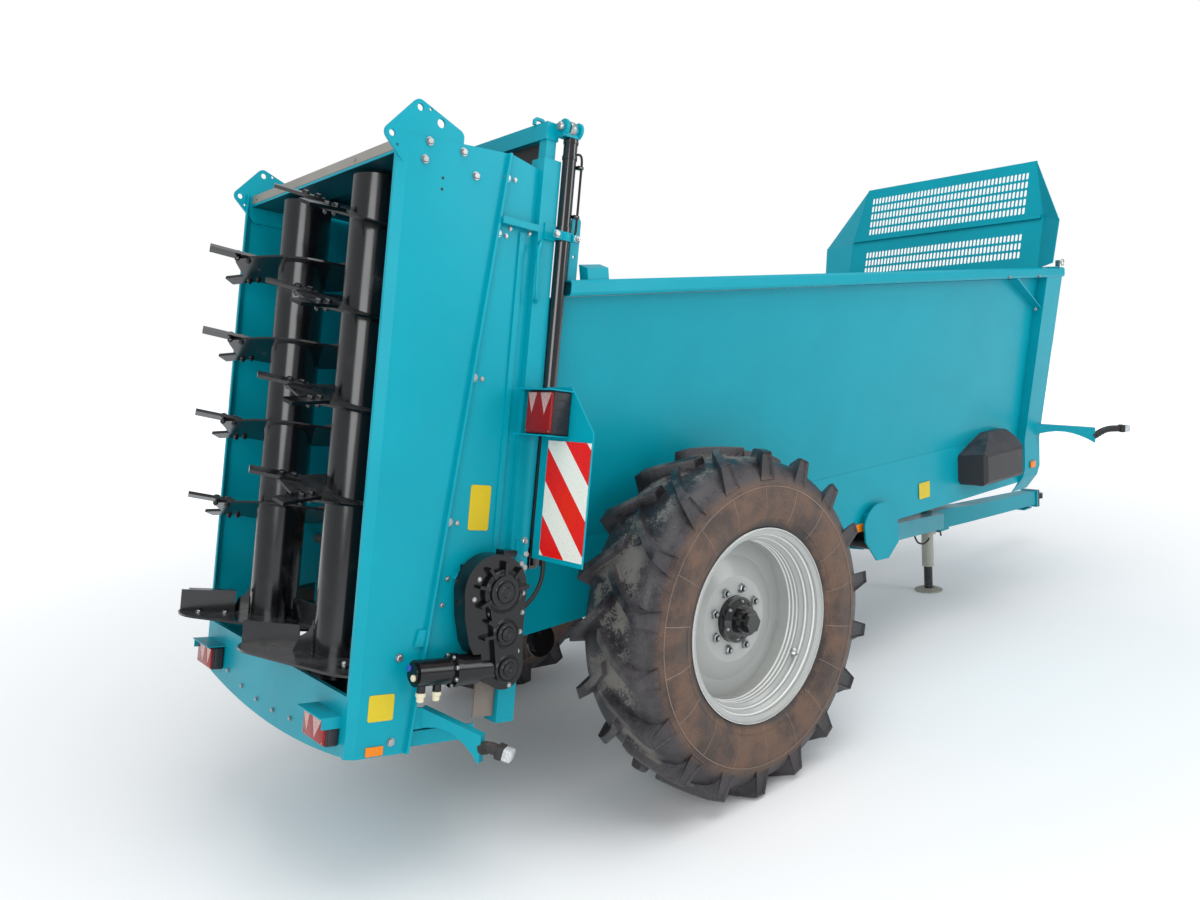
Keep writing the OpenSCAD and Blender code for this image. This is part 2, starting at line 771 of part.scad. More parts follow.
// Square ear with round corners, turned on its corner, with its holes
module lifting_ear() {
    holes = [[-31, 2379, 26], [78, 2507, 28], [123, 2512, 14], [173, 2471, 36], [-6, 2340, 12]];
    side_plate(-panel_y + panel_t, 12) difference() {
        hull() {
            translate([-29, 2381]) circle(r = 32);
            translate([76, 2505]) circle(r = 32);
            translate([250, 2440]) circle(r = 30);
            translate([60, 2290]) circle(r = 30);
            translate([250, 2290]) circle(r = 30);
        }
        for (h = holes) translate([h[0], h[1]]) circle(d = h[2]);
    }
}

// C-section post that guides the door, with the plate that closes the body's corner
module post() {
    lip = 24;
    t = 6;
    color([0.07, 0.62, 0.70]) rear_unit() {
        translate([0, 0, 80]) linear_extrude(post_top_u - 80) polygon(folded([
            [post_w0 + lip, -post_y0], [post_w0, -post_y0], [post_w0, -post_y1],
            [post_w1, -post_y1], [post_w1, -post_y0], [post_w1 - lip, -post_y0]], t));
        // Corner plate between the post and the body side
        translate([post_w1 - t, 0, 0]) rotate([90, 0, 90]) linear_extrude(t) polygon([
            [-post_y1 + 1, unit_u(post_w1, girder_z)], [-(low_y - 4), unit_u(post_w1, girder_z)],
            [-(low_y - 4), unit_u(post_w1, crease_z)], [-(top_y - 4), unit_u(post_w1, rail_z)],
            [-post_y1 + 1, unit_u(post_w1, rail_z)]]);
        // Bracket for the high lamp and the board
        translate([lamp_w, 0, 0]) rotate([90, 0, 90]) linear_extrude(6) polygon([
            [-plate_y0, 780], [-(board_y1 + 4), 780], [-(board_y1 + 4), 1318],
            [-1067, 1500], [-plate_y0, 1500]]);
        for (u = [lamp_u0 - 5, lamp_u1])
            translate([lamp_w - 120, -1083, u]) cube([126, 1084 - post_y1, 5]);
        // Strap and foot that hold the cylinder
        translate([post_w1 - 60, -post_y1 - 8, trunnion_u - 35]) cube([56, 9, 70]);
        translate([post_w0 + 20, -post_y1 - 8, 726]) cube([64, 9, 120]);
    }
}

module top_beam() {
    color([0.55, 0.58, 0.58]) rear_unit() difference() {
        translate([36, -(panel_y - panel_t - 12 - gap), 2338])
            cube([174, 2 * (panel_y - panel_t - 12 - gap), 56]);
        translate([42, -900, 2344]) cube([162, 1800, 44]);
        for (s = [-1, 1]) translate([beater_w, s * beater_y, 2300])
            cylinder(d = journal_d + 2 * gap, h = 60);
    }
}

skirt_y = flange_y - gap;
low_lamp_y = 545;

module rear_skirt() {
    sag = 62;
    r = (skirt_y * skirt_y + sag * sag) / (2 * sag);
    half_angle = asin(skirt_y / r);
    color([0.07, 0.62, 0.70]) rear_unit() {
        rotate([90, 0, 90]) linear_extrude(6) polygon(concat(
            arc([0, r - sag + 4], r, 270 - half_angle, 270 + half_angle, 24),
            [[skirt_y, 235], [-skirt_y, 235]]));
        // Tray under the gearboxes
        translate([5, -skirt_y, 20]) cube([560, 2 * skirt_y, 6]);
        translate([60, -(panel_y - panel_t - gap), 20])
            cube([505, 2 * (panel_y - panel_t - gap), 6]);
        both_sides() translate([60, -(panel_y - panel_t - gap), 20]) cube([505, 6, 60]);
        translate([5, -skirt_y, 225]) cube([16, 2 * skirt_y, 10]);
        both_sides() translate([0, -skirt_y, 18]) cube([6, 200, 8]);
        // Hoods folded over the low lamps
        both_sides() translate([0, -(low_lamp_y + 212), 0]) {
            translate([-88, 0, 150]) cube([89, 222, 5]);
            translate([-80, 0, 110]) cube([81, 4, 41]);
        }
    }
}

/* Beaters */

journal_d = 60;
tube_top_u = 2316;
flight_t = 10;
blade_t = 14;

// Two-ended flight as seen along the beater: it wraps the tube and reaches out both ways
flight_half_l = 300;
blade_spread = 21;

module flight_outline() {
    waist = tube_d / 2 + 44;
    end_y = 62;
    r = 42;
    difference() {
        polygon([for (m = [0, 180]) each [for (q = concat(
            [[60, -waist], [130, -waist + 14]],
            arc([flight_half_l - r, -end_y], r, -70, 0, 4),
            arc([flight_half_l - r, end_y], r, 0, 70, 4),
            [[130, waist - 14], [60, waist]]))
            [q[0] * cos(m) - q[1] * sin(m), q[0] * sin(m) + q[1] * cos(m)]]]);
        circle(d = tube_d - 20);
    }
}

module blade() {
    inner = blade_r - 205;
    translate([inner, -30, flight_t - 0.5]) difference() {
        cube([205, 60, blade_t]);
        for (x = [30, 80]) translate([x, 30, -1]) cylinder(d = 14, h = blade_t + 2);
    }
}

// One flight with its bolted blades, tilted like the turn of a screw
module flight() {
    intersection() {
        rotate([-flight_tilt, 0, 0]) {
            linear_extrude(flight_t) flight_outline();
            for (a = [-blade_spread, blade_spread, 180 - blade_spread, 180 + blade_spread])
                rotate([0, 0, a]) blade();
        }
        translate([0, 0, -300]) cylinder(r = blade_r, h = 600, $fn = 96);
    }
}

// Three-cornered disc with round corners
module disc_outline() {
    r = disc_corner_r;
    polygon([for (a = [0, 120, 240]) each arc((disc_r - r) * [cos(a), sin(a)], r, a - 60, a + 60, 12)]);
}

paddle_h = 100;

// Upright paddle near the disc's rim; the folded one has a lip on top
module paddle(lip) {
    x0 = tube_d / 2 + 60;
    long = disc_r - 8 - x0;
    translate([x0, -6, -1]) cube([long, 12, paddle_h + 1]);
    if (lip) translate([x0, -6, paddle_h - 10]) cube([long - 30, 60, 10]);
    // Curved web from the tube to the disc
    rotate([90, 0, 14]) translate([0, 0, -5]) linear_extrude(8) polygon(concat(
        [[tube_d / 2 - 6, -2], [tube_d / 2 + 76, -2]],
        arc([tube_d / 2 + 76, 130], 72, 250, 180, 8), [[tube_d / 2 - 6, 130]]));
}

flight_pitch = 385;
flights_right_u = 990;
flights_left_u = 820;

// Beater from its disc up; side is 0 for the right one and 1 for its mirror image
module beater(level, disc_turn, first_u, turn, side) {
    color([0.05, 0.05, 0.055]) {
        difference() {
            translate([0, 0, level + 4]) cylinder(d = tube_d, h = tube_top_u - level - 4);
            translate([0, 0, level - 1]) cylinder(d = tube_d - 16, h = tube_top_u - level - 20);
        }
        cylinder_between(tube_top_u - 1, 2340, journal_d);
        translate([0, 0, level]) linear_extrude(10) difference() {
            rotate(disc_turn) disc_outline();
            circle(d = 150);
        }
        for (k = [0, 1, 2]) rotate([0, 0, disc_turn + 120 * k]) translate([0, 0, level + 10])
            mirror([0, side, 0]) paddle(side == 1 && k == 0);
        for (i = [0 : 3]) translate([0, 0, first_u + i * flight_pitch]) rotate([0, 0, turn])
            mirror([0, side, 0]) flight();
    }
}

module cylinder_between(u0, u1, d) {
    translate([0, 0, u0]) cylinder(d = d, h = u1 - u0);
}

module beater_right() {
    rear_unit() translate([beater_w, -beater_y, 0])
        beater(disc_u, disc_turn_right, flights_right_u, 183, 0);
}

module beater_left() {
    rear_unit() translate([beater_w, beater_y, 0])
        beater(disc_u + disc_step, disc_turn_left, flights_left_u, 142, 1);
}

module beater_gearbox() {
    cross_u = 150;
    color([0.10, 0.10, 0.11]) rear_unit() {
        for (s = [-1, 1]) translate([beater_w, s * beater_y, 0]) {
            cylinder_between(26 + gap, 60, 250);
            cylinder_between(59, 215, 210);
            cylinder_between(214, disc_u - moving_gap, 130);
        }
        translate([beater_w, 0, cross_u]) rotate([90, 0, 0])
            cylinder(d = 100, h = 2 * beater_y, center = true);
        translate([beater_w - 95, -95, cross_u - 90]) cube([190, 190, 180]);
        translate([beater_w + 90, 0, cross_u]) rotate([0, 90, 0]) cylinder(d = 110, h = 190);
        translate([beater_w + 279, 0, cross_u]) rotate([0, 90, 0]) cylinder(d = 60, h = 25);
    }
}

/* Door */

door_t = 12;
door_tube = 50;
beam_u0 = 2545;
beam_u1 = 2618;
guide_y = (post_y0 + post_y1) / 2;
beam_end_y = guide_y + door_tube / 2 + 4;

module door() {
    color([0.07, 0.62, 0.70]) rear_unit() {
        translate([door_w - door_t / 2, -guide_y, door_low_u])
            cube([door_t, 2 * guide_y, beam_u0 + 1 - door_low_u]);
        for (u = [1000, 1400, 1800, 2200])
            translate([door_w - door_t / 2 - 40, -(post_y0 - 14), u])
                cube([41, 2 * (post_y0 - 14), 60]);
        both_sides() {
            translate([door_w - door_tube / 2, -guide_y - door_tube / 2, door_low_u])
                cube([door_tube, door_tube, beam_u1 - door_low_u]);
            // Bracket beside the beam's end and fork that the rod's eye is pinned to
            translate([door_w + 20, -(cylinder_y + 28), beam_u0 + 18])
                cube([12, cylinder_y + 36 - beam_end_y, 60]);
            for (dy = [-28, 16]) translate([door_w + 20, -cylinder_y + dy, beam_u0 + 18])
                cube([cylinder_w - door_w + 4, 12, 60]);
            translate([cylinder_w, -cylinder_y + 30, beam_u0 + 50]) rotate([90, 0, 0])
                cylinder(d = 24, h = 64);
        }
        translate([door_w - 32, -beam_end_y, beam_u0])
            cube([64, 2 * beam_end_y, beam_u1 - beam_u0]);
        // Lifting handle bent from bar
        translate([door_w - 20, 0, beam_u1 - 1]) both_sides() translate([0, -740, 0])
            rotate([90, 0, 0]) linear_extrude(14) difference() {
                polygon([[-24, 0], [-24, 22], [-12, 34], [24, 34], [36, 22], [36, 0]]);
                polygon([[-12, -1], [-12, 18], [-6, 22], [18, 22], [24, 18], [24, -1]]);
            }
    }
    color([0.75, 0.76, 0.78]) rear_unit() both_sides() translate([cylinder_w, -cylinder_y, 0]) {
        cylinder_between(860, beam_u0 + 40, rod_d);
        translate([0, 15.5, beam_u0 + 50]) rotate([90, 0, 0]) cylinder(d = 52, h = 31);
    }
}

module door_cylinders() {
    barrel_u0 = 744;
    barrel_u1 = beam_u0 + 14;
    bore = rod_d + 14;
    color([0.07, 0.06, 0.06]) rear_unit() both_sides() translate([cylinder_w, -cylinder_y, 0]) {
        difference() {
            union() {
                cylinder_between(barrel_u0, barrel_u1, barrel_d);
                cylinder_between(trunnion_u - 30, trunnion_u + 30, barrel_d + 8);
                // Clamp and foot seated on the post's front face
                for (u = [trunnion_u - 25, barrel_u0 + 20])
                    translate([post_w1 - cylinder_w, 0, u]) cube([22, 40, 50]);
            }
            cylinder_between(barrel_u0 + 60, barrel_u1 - 60, bore);
            cylinder_between(barrel_u1 - 61, barrel_u1 + 1, rod_d + 2 * gap);
        }
        translate([-33 + gap, -8, barrel_u0 - 14]) cube([40, 16, 60]);
    }
}

/* Drives */

gear_y0 = post_y1 + gap;

gear_u = [shaft_u, 480, 335];
gear_w = [shaft_w, 590, 612];
cover_w = [shaft_w + 25, 590, 612];
motor_u = gear_u[2];

module floor_gearbox() {
    lobe_r = [150, 98, 90];
    cover_r = [92, 62, 58];
    boss_r = [66, 44, 44];
    color([0.06, 0.06, 0.065]) rear_unit() {
        // Case, smooth and deep, with its straight rear side
        side_plate(-gear_y0 - 84, 84) union() {
            for (i = [0 : 2]) translate([gear_w[i], gear_u[i]]) circle(r = lobe_r[i]);
            polygon([[391, 640], [402, 540], [430, 440], [455, 398], [492, 398], [492, 300],
                [600, 248], [702, 335], [688, 480], [690, 650]]);
        }
        // Narrower cover over the three gears
        side_plate(-gear_y0 - 104, 21) union() {
            for (i = [0 : 2]) translate([cover_w[i], gear_u[i]]) circle(r = cover_r[i]);
            polygon([[500, 600], [532, 470], [556, 335], [665, 335], [650, 480], [654, 640]]);
        }
        for (i = [0 : 2]) side_plate(-gear_y0 - 113, 10) translate([cover_w[i], gear_u[i]])
            circle(r = boss_r[i]);
        for (i = [0 : 2]) side_plate(-gear_y0 - 119, 7) translate([cover_w[i], gear_u[i]])
            circle(r = boss_r[i] * 0.6);
        // Ribs that spread from the cover
        for (a = [10 : 40 : 210]) rib(0, a, 70, 122);
        for (a = [150, 190]) rib(1, a, 50, 104);
        // Lug on top and foot bolted to the panel
        side_plate(-gear_y0 - 84, 60) translate([shaft_w + 20, shaft_u + 140]) square([64, 26]);
        side_plate(-gear_y0 - 1, gear_y0 + 1 - panel_y) translate([430, 575]) square([120, 170]);
        // Flange for the motor
        translate([490, -gear_y0 - 50, motor_u]) rotate([0, 90, 0]) cylinder(d = 100, h = 90);
    }
}

// Rib of the gear cover: gear i, angle, from radius r0 to r1
module rib(i, a, r0, r1) {
    translate([cover_w[i], -gear_y0 - 109, gear_u[i]]) rotate([0, -a, 0])
        translate([r0, 0, -7]) cube([r1 - r0, 27, 14]);
}

module drive_motor() {
    color([0.07, 0.07, 0.075]) rear_unit() translate([0, -gear_y0 - 50, motor_u])
        rotate([0, 90, 0]) {
            translate([0, 0, 215]) cylinder(d = 104, h = 160);
            translate([0, 0, 374]) cylinder(d = 136, h = 24);
            translate([0, 0, 397]) cylinder(d = 122, h = 93);
            translate([0, 0, 205]) cylinder(d = 80, h = 12);
            for (x = [250, 320]) translate([0, 0, x]) rotate([0, 90, 0]) cylinder(d = 34, h = 78);
        }
}

line_z = drawn_axle_z + 142;
line_d = 60;
line_rear_x = -760;
pto_x = body_front + 150;

module line_shaft() {
    color([0.40, 0.41, 0.42]) from_axle() translate([0, 0, line_z]) rotate([0, 90, 0]) {
        translate([0, 0, line_rear_x]) cylinder(d = line_d, h = pto_x - 90 - line_rear_x);
        // Splined input stub
        translate([0, 0, pto_x - 91]) cylinder(d = 34.9, h = 91);
    }
}

module shaft_bearings() {
    color([0.15, 0.15, 0.16]) from_axle() for (x = [cross_x[0], cross_x[2], cross_x[5]])
        translate([x, 0, line_z]) difference() {
            union() {
                rotate([0, 90, 0]) cylinder(d = 120, h = 50, center = true);
                translate([-25, -85, 20]) cube([50, 170, cross_low_z - line_z - 20]);
            }
            rotate([0, 90, 0]) cylinder(d = line_d + 2 * gap, h = 60, center = true);
        }
}

// Guard over the sloping drive shaft between the line shaft and the beater gearbox
module cardan_guard() {
    start_w = beater_w + 304 + gap;
    p = [unit_x(start_w + 90, 150), 0, unit_z(start_w + 90, 150)];
    q = [line_rear_x + 90, 0, line_z];
    bell = 62;
    color([0.09, 0.09, 0.09]) {
        rear_unit() translate([start_w, 0, 150]) rotate([0, 90, 0]) cylinder(r = bell, h = 100);
        from_axle() {
            difference() {
                translate([line_rear_x - 60, 0, line_z]) rotate([0, 90, 0])
                    cylinder(r = bell, h = -25 + cross_x[0] - line_rear_x + 60);
                translate([line_rear_x - moving_gap, 0, line_z]) rotate([0, 90, 0])
                    cylinder(d = line_d + 12, h = 400);
            }
            v = q - p;
            translate(p) rotate([0, 90 - atan2(v[2], v[0]), 0])
                cylinder(d = 80, h = norm(v) - 120);
        }
    }
}

/* Lamps, boards and small parts */

board_y0 = 946;
board_y1 = 1226;

module low_lamps() {
    color([0.75, 0.08, 0.06]) rear_unit() both_sides() {
        translate([-62, -(low_lamp_y + 205), 38]) cube([45, 205, 105]);
        translate([-20, -(low_lamp_y + 205), 32]) cube([20, 205, 117]);
    }
}

module high_lamps() {
    color([0.75, 0.08, 0.06]) rear_unit() both_sides() {
        translate([lamp_w, -1075, lamp_u0]) linear_extrude(lamp_u1 - lamp_u0) polygon([
            [0, 0], [-84, 0], [-98, 14], [-98, 160], [-80, 178], [-40, 178], [0, 178]]);
    }
}

module marker_boards() {
    color([0.85, 0.10, 0.08]) rear_unit() both_sides()
        translate([lamp_w - 3, -board_y1, 800]) cube([3, board_y1 - board_y0, 478]);
}

// Arm of folded sheet with an arched web, drawn along x and z, from [0, 0] at its root
module arched_arm(long, root_h, end_h, fall) {
    flange = 46;
    side_plate(0, 5) arched_web(long, root_h, end_h, fall);
    side_plate(0, flange) intersection() {
        arched_web(long, root_h, end_h, fall);
        polygon([[-1, 1], [long + 1, 1 - fall], [long + 1, -5 - fall], [-1, -5]]);
    }
    side_plate(0, flange) translate([long - 5, -fall - end_h]) square([5, end_h]);
}

module arched_web(long, root_h, end_h, fall) {
    rise = 0.55 * (root_h + end_h) / 2;
    polygon(concat([[0, 0], [long, -fall], [long, -fall - end_h], [long - 8, -fall - end_h]],
        [for (i = [7 : -1 : 1]) [long * i / 8, -fall * i / 8 - root_h
            - (end_h - root_h) * i / 8 + rise * sin(180 * i / 8)]], [[0, -root_h]]));
}

// Rubber stalk and lamp of a marker arm
module stalk(p, q, r) {
    bar(p, q, 30, 34);
    translate(q) sphere(d = 34, $fn = 24);
    bar(q, r, 28, 30);
    v = unit2(r - q);
    bar(r - 4 * v, r + 60 * v, 44, 40);
}

// Folded arm low on the side panel that carries a wide-angle marker lamp
module rear_arms() {
    root = [300, -panel_y - 8, 176];
    color([0.07, 0.62, 0.70]) rear_unit() both_sides() {
        translate(root) rotate([0, 0, -54.7]) arched_arm(262, 82, 108, 71);
        stalk([462, -1026, 50], [484, -1062, 62], [506, -1090, 54]);
        // Foot of the arm against the panel's joint
        side_plate(-panel_y - 9, 9) polygon([[joint_w(92) - 1, 92], [312, 92], [312, 176],
            [joint_w(176) - 1, 176]]);
    }
}

module front_arms() {
    root = [body_front - 82, -(low_y + 48), 1322];
    color([0.07, 0.62, 0.70]) from_axle() both_sides() {
        difference() {
            translate(root) rotate([0, 0, -56.3]) arched_arm(417, 84, 108, 45);
            // Cut to the outer face of the front stiffener
            cross_plate(body_front - 400, 420) polygon([[-(low_y + 52), 1100],
                [-(low_y + 52), 1215], [-(top_y + rail_w - 6), rail_z], [0, rail_z], [0, 1100]]);
        }
        stalk([3956, -1046, 1214], [4010, -1110, 1264], [4080, -1180, 1262]);
    }
}

// Moulded tool box on the right girder
module storage_box() {
    x0 = 2737;
    x1 = 3310;
    top = 1340;
    y_in = -(low_y + gap);
    deep = 190;
    color([0.09, 0.09, 0.10]) from_axle() intersection() {
        side_plate(y_in - deep, deep) polygon([[x0 + 30, 1010], [x1 - 12, 1010], [x1, 1030],
            [x1, 1270], [x1 - 45, top], [x0 + 290, top], [x0 + 6, 1215], [x0, 1195], [x0, 1040]]);
        cross_plate(x0 - 5, x1 - x0 + 10) polygon([[y_in, 1010], [y_in - deep + 26, 1010],
            [y_in - deep, 1036], [y_in - deep, 1205], [y_in - deep + 14, 1228],
            [y_in - 80, top - 8], [y_in - 62, top], [-side_y(top) - gap, top],
            [y_in, crease_z]]);
        linear_extrude(2000) polygon([[x0, y_in], [x0 + 34, y_in - deep + 22],
            [x0 + 58, y_in - deep], [x1 - 40, y_in - deep], [x1 - 18, y_in - deep + 16],
            [x1, y_in]]);
    }
}

from_axle() side();  // side_right
from_axle() left_side() side();  // side_left
from_axle() rail();  // rail_right
from_axle() left_side() rail();  // rail_left
floor_plate();
front_wall();
front_screen();
from_axle() girder();  // girder_right
from_axle() left_side() girder();  // girder_left
cross_members();
conveyor_top();
conveyor_return();
conveyor_drive_shaft();
conveyor_idler();
axle_beam();
brake_cylinders();
rim();  // rim_right
tyre();  // tyre_right
hub();  // hub_right
left_side() rim();  // rim_left
left_side() tyre();  // tyre_left
left_side() hub();  // hub_left
pivot_bracket();  // pivot_bracket_right
left_side() pivot_bracket();  // pivot_bracket_left
drawbar_pivot();
drawbar_arm();  // drawbar_arm_right
left_side() drawbar_arm();  // drawbar_arm_left
drawbar_beam();
towing_eye();
jack_barrel();
jack_leg();
rear_panel();  // rear_panel_right
left_side() rear_panel();  // rear_panel_left
post();  // post_right
left_side() post();  // post_left
top_beam();
rear_skirt();
beater_right();
beater_left();
beater_gearbox();
door();
door_cylinders();
floor_gearbox();
drive_motor();
line_shaft();
shaft_bearings();
cardan_guard();
low_lamps();
high_lamps();
marker_boards();
rear_arms();
front_arms();
storage_box();
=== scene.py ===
# %% [markdown]
# # Dressing a manure spreader
# The solid model comes ready made: body, wheels, beaters, door and drawbar, each one a node
# that rides on its own moving body. This lesson gives those nodes their paint and rubber,
# and adds what a farmer would notice next: bolts, pipes, hoses, lamps, striped boards, chain
# links and wheel trim. Everything is in metres, in the frame of the solid model: +X forward,
# +Y to the left, +Z up, with the ground at z = 0.

# %% Load the solid model
import math
from contextlib import contextmanager
import bpy
import bmesh
from mathutils import Matrix, Vector


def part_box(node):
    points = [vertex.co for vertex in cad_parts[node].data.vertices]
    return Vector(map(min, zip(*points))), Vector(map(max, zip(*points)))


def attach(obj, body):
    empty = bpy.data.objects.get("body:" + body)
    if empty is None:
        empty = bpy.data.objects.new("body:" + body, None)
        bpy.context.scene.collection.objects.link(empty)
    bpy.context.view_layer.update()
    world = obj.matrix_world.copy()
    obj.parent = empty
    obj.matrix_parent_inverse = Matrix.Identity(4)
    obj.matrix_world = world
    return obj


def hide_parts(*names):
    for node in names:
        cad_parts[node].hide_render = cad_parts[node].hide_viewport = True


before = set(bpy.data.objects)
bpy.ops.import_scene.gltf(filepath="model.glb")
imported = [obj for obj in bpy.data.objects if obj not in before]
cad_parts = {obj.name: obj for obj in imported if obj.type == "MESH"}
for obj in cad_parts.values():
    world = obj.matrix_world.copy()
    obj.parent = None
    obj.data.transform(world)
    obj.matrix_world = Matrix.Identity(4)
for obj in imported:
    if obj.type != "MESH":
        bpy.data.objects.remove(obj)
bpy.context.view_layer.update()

# %% [markdown]
# Two places are named once and used everywhere. The first is the axle, from which every
# length along the body is measured. The second is the rear unit, which leans forward by
# 11.5 degrees: in it w runs forward, y to the left, and u up along the lean. A matrix for
# each turns millimetres of the drawing into metres of the frame, and two short helpers make
# the matrices of a turn and of a move.

# %% Named places of the machine
def spin(degrees, axis="Z"):
    return Matrix.Rotation(math.radians(degrees), 4, axis)


def shift(x, y, z):
    return Matrix.Translation((x, y, z))


MM = 0.001
FORWARD, BACK, LEFT, RIGHT, DOWN = (1, 0, 0), (-1, 0, 0), (0, 1, 0), (0, -1, 0), (0, 0, -1)
wheel_low, wheel_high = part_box("tyre_right")
axle = Vector(((wheel_low[0] + wheel_high[0]) / 2, 0.0, (wheel_low[2] + wheel_high[2]) / 2))
machine = shift(axle.x, 0, 0) @ Matrix.Scale(MM, 4)
lean = 11.5
rear = shift(axle.x - 1.895, 0, 0.690) @ spin(lean, "Y") @ Matrix.Scale(MM, 4)
wheel_y = 1041.5
print("axle at", tuple(round(v, 4) for v in axle))

# %% [markdown]
# ## Ways to add objects and nodes
# Every material is built from small nodes, by the same few steps: make a node, set it, and
# give its inputs a number, a colour or another node's output. These helpers do that in one
# line. An output socket knows the tree it belongs to, so sums on sockets read almost like
# plain sums.

# %% Helpers for objects and nodes
scene = bpy.context.scene


def add_object(name, data):
    made = bpy.data.objects.new(name, data)
    scene.collection.objects.link(made)
    return made


def face_out(mesh):
    bmesh.ops.recalc_face_normals(mesh, faces=mesh.faces)


def to_data(mesh, name):
    """Turn a bmesh into mesh data and free it."""
    data = bpy.data.meshes.new(name)
    mesh.to_mesh(data)
    mesh.free()
    return data


def new_material(name):
    """A material, its node tree and its surface shader."""
    material = bpy.data.materials.new(name)
    material.use_nodes = True
    return material, material.node_tree, material.node_tree.nodes["Principled BSDF"]


def fill(node, values):
    """Give inputs of a node, by name or number, a value or the output of another node."""
    for key, value in values.items():
        socket = node.inputs[key]
        if hasattr(value, "is_output"):
            socket.id_data.links.new(value, socket)
        else:
            socket.default_value = value


def add_node(tree, kind, values=None, **settings):
    node = tree.nodes.new("ShaderNode" + kind)
    for key, value in settings.items():
        setattr(node, key, value)
    fill(node, values or {})
    return node


def calc(operation, a, b=0.0, clamp=False):
    """One operation on two values, of which at least one is a socket."""
    tree = (a if hasattr(a, "is_output") else b).id_data
    return add_node(tree, "Math", {0: a, 1: b}, operation=operation, use_clamp=clamp).outputs[0]


def plus(a, b):
    return calc("ADD", a, b)


def minus(a, b, clamp=False):
    return calc("SUBTRACT", a, b, clamp)


def times(a, b, clamp=False):
    return calc("MULTIPLY", a, b, clamp)


def ramp(value, low, high):
    """0 below low, 1 above high, and smooth between them."""
    node = add_node(value.id_data, "MapRange", {"Value": value, "From Min": low, "From Max": high},
                    interpolation_type="SMOOTHSTEP")
    return node.outputs["Result"]


def blend(amount, first, second):
    """The first colour where amount is 0, and the second where it is 1."""
    colours = {0: amount, 6: first, 7: second}
    return add_node(amount.id_data, "Mix", colours, data_type="RGBA").outputs[2]


def noise(place, scale, detail=3.0, rough=0.55):
    values = {"Vector": place, "Scale": scale, "Detail": detail, "Roughness": rough}
    return add_node(place.id_data, "TexNoise", values).outputs["Fac"]


def bump(height, strength, distance):
    values = {"Height": height, "Strength": strength, "Distance": distance}
    return add_node(height.id_data, "Bump", values).outputs["Normal"]


def place_of(tree):
    return add_node(tree, "TexCoord").outputs["Object"]


def part(vector, axis):
    return add_node(vector.id_data, "SeparateXYZ", {0: vector}).outputs[axis]


def length_of(vector):
    return add_node(vector.id_data, "VectorMath", {0: vector}, operation="LENGTH").outputs["Value"]


print("node helpers ready")

# %% [markdown]
# ## Camera, floor and light
# The camera was solved from the photograph's wheel and body edges, so it is given by its
# place, its turn and its lens.

# %% Camera at the photograph's viewing angle
camera_data = bpy.data.cameras.new("photo_camera")
camera_data.lens = 28.905
camera_data.sensor_width = 36
camera_data.clip_end = 200
camera = add_object("photo_camera", camera_data)
camera_place = Vector((-3.2947, -4.1574, 2.2451))
camera_turn = Vector((1.59666731, -0.63387202, 0.46186406))
world_to_camera = Matrix.Rotation(camera_turn.length, 3, camera_turn.normalized())
# Image axes run right, down and into the picture; Blender's camera looks along its own -Z.
flip = Matrix(((1, 0, 0), (0, -1, 0), (0, 0, -1)))
camera.matrix_world = (shift(axle.x, 0, 0) @ Matrix.Translation(camera_place)
                       @ (flip @ world_to_camera).transposed().to_4x4())
scene.camera = camera
print("camera at", tuple(round(v, 3) for v in camera.matrix_world.translation))

# %% [markdown]
# The floor is one pale sheet that shows as white, and the light is a bright sky with three
# large soft lamps, so that paint colours come out as written. Far from the machine the lamps
# fade, so there the sheet glows a little.

# %% Floor, sky and lamps
scene.view_settings.view_transform = "Standard"
floor_mesh = bmesh.new()
bmesh.ops.create_grid(floor_mesh, x_segments=1, y_segments=1, size=40)
floor = add_object("floor", to_data(floor_mesh, "floor"))
floor_paint, tree, surface = new_material("floor_paint")
away = length_of(place_of(tree))
fade = {"Value": away, "From Min": 2.5, "From Max": 13, "To Min": 0.03, "To Max": 0.75}
fill(surface, {"Base Color": (0.90, 0.90, 0.90, 1), "Roughness": 0.9, "Emission Color": (1, 1, 1, 1),
               "Emission Strength": add_node(tree, "MapRange", fade).outputs["Result"]})
floor.data.materials.append(floor_paint)

world = bpy.data.worlds.new("sky")
scene.world = world
world.use_nodes = True
tree = world.node_tree
tree.nodes.clear()
sky = add_node(tree, "Background", {"Color": (0.92, 0.96, 1.0, 1), "Strength": 0.60})
white = add_node(tree, "Background", {"Color": (1, 1, 1, 1)})
# The camera itself sees white where only sky is behind the machine
seen = add_node(tree, "LightPath").outputs["Is Camera Ray"]
mixed = add_node(tree, "MixShader", {0: seen, 1: sky.outputs[0], 2: white.outputs[0]})
add_node(tree, "OutputWorld", {"Surface": mixed.outputs[0]})


def soft_lamp(name, place, aim, size, power):
    data = bpy.data.lights.new(name, "AREA")
    data.shape = "DISK"
    data.size = size
    data.energy = power
    lamp = add_object(name, data)
    lamp.location = place
    lamp.rotation_euler = (Vector(aim) - Vector(place)).to_track_quat("-Z", "Y").to_euler()
    print(name, power, "watts")


soft_lamp("sky_panel", (-2, -3, 9), (0, 0, 1), 7, 360)
soft_lamp("rear_panel_light", (-9, -6, 4.5), (-2, 0, 1.2), 5, 250)
soft_lamp("side_panel_light", (5, -9, 5), (1, 0, 1), 5, 230)

# %% [markdown]
# ## Finishes
# Real paint on a machine that stands outdoors is never one colour: it clouds a little, gathers
# dust where it faces up and near the ground, and is slightly wavy. The dirt is built once as a
# node group, which each paint, plastic and casting then uses with its own values.

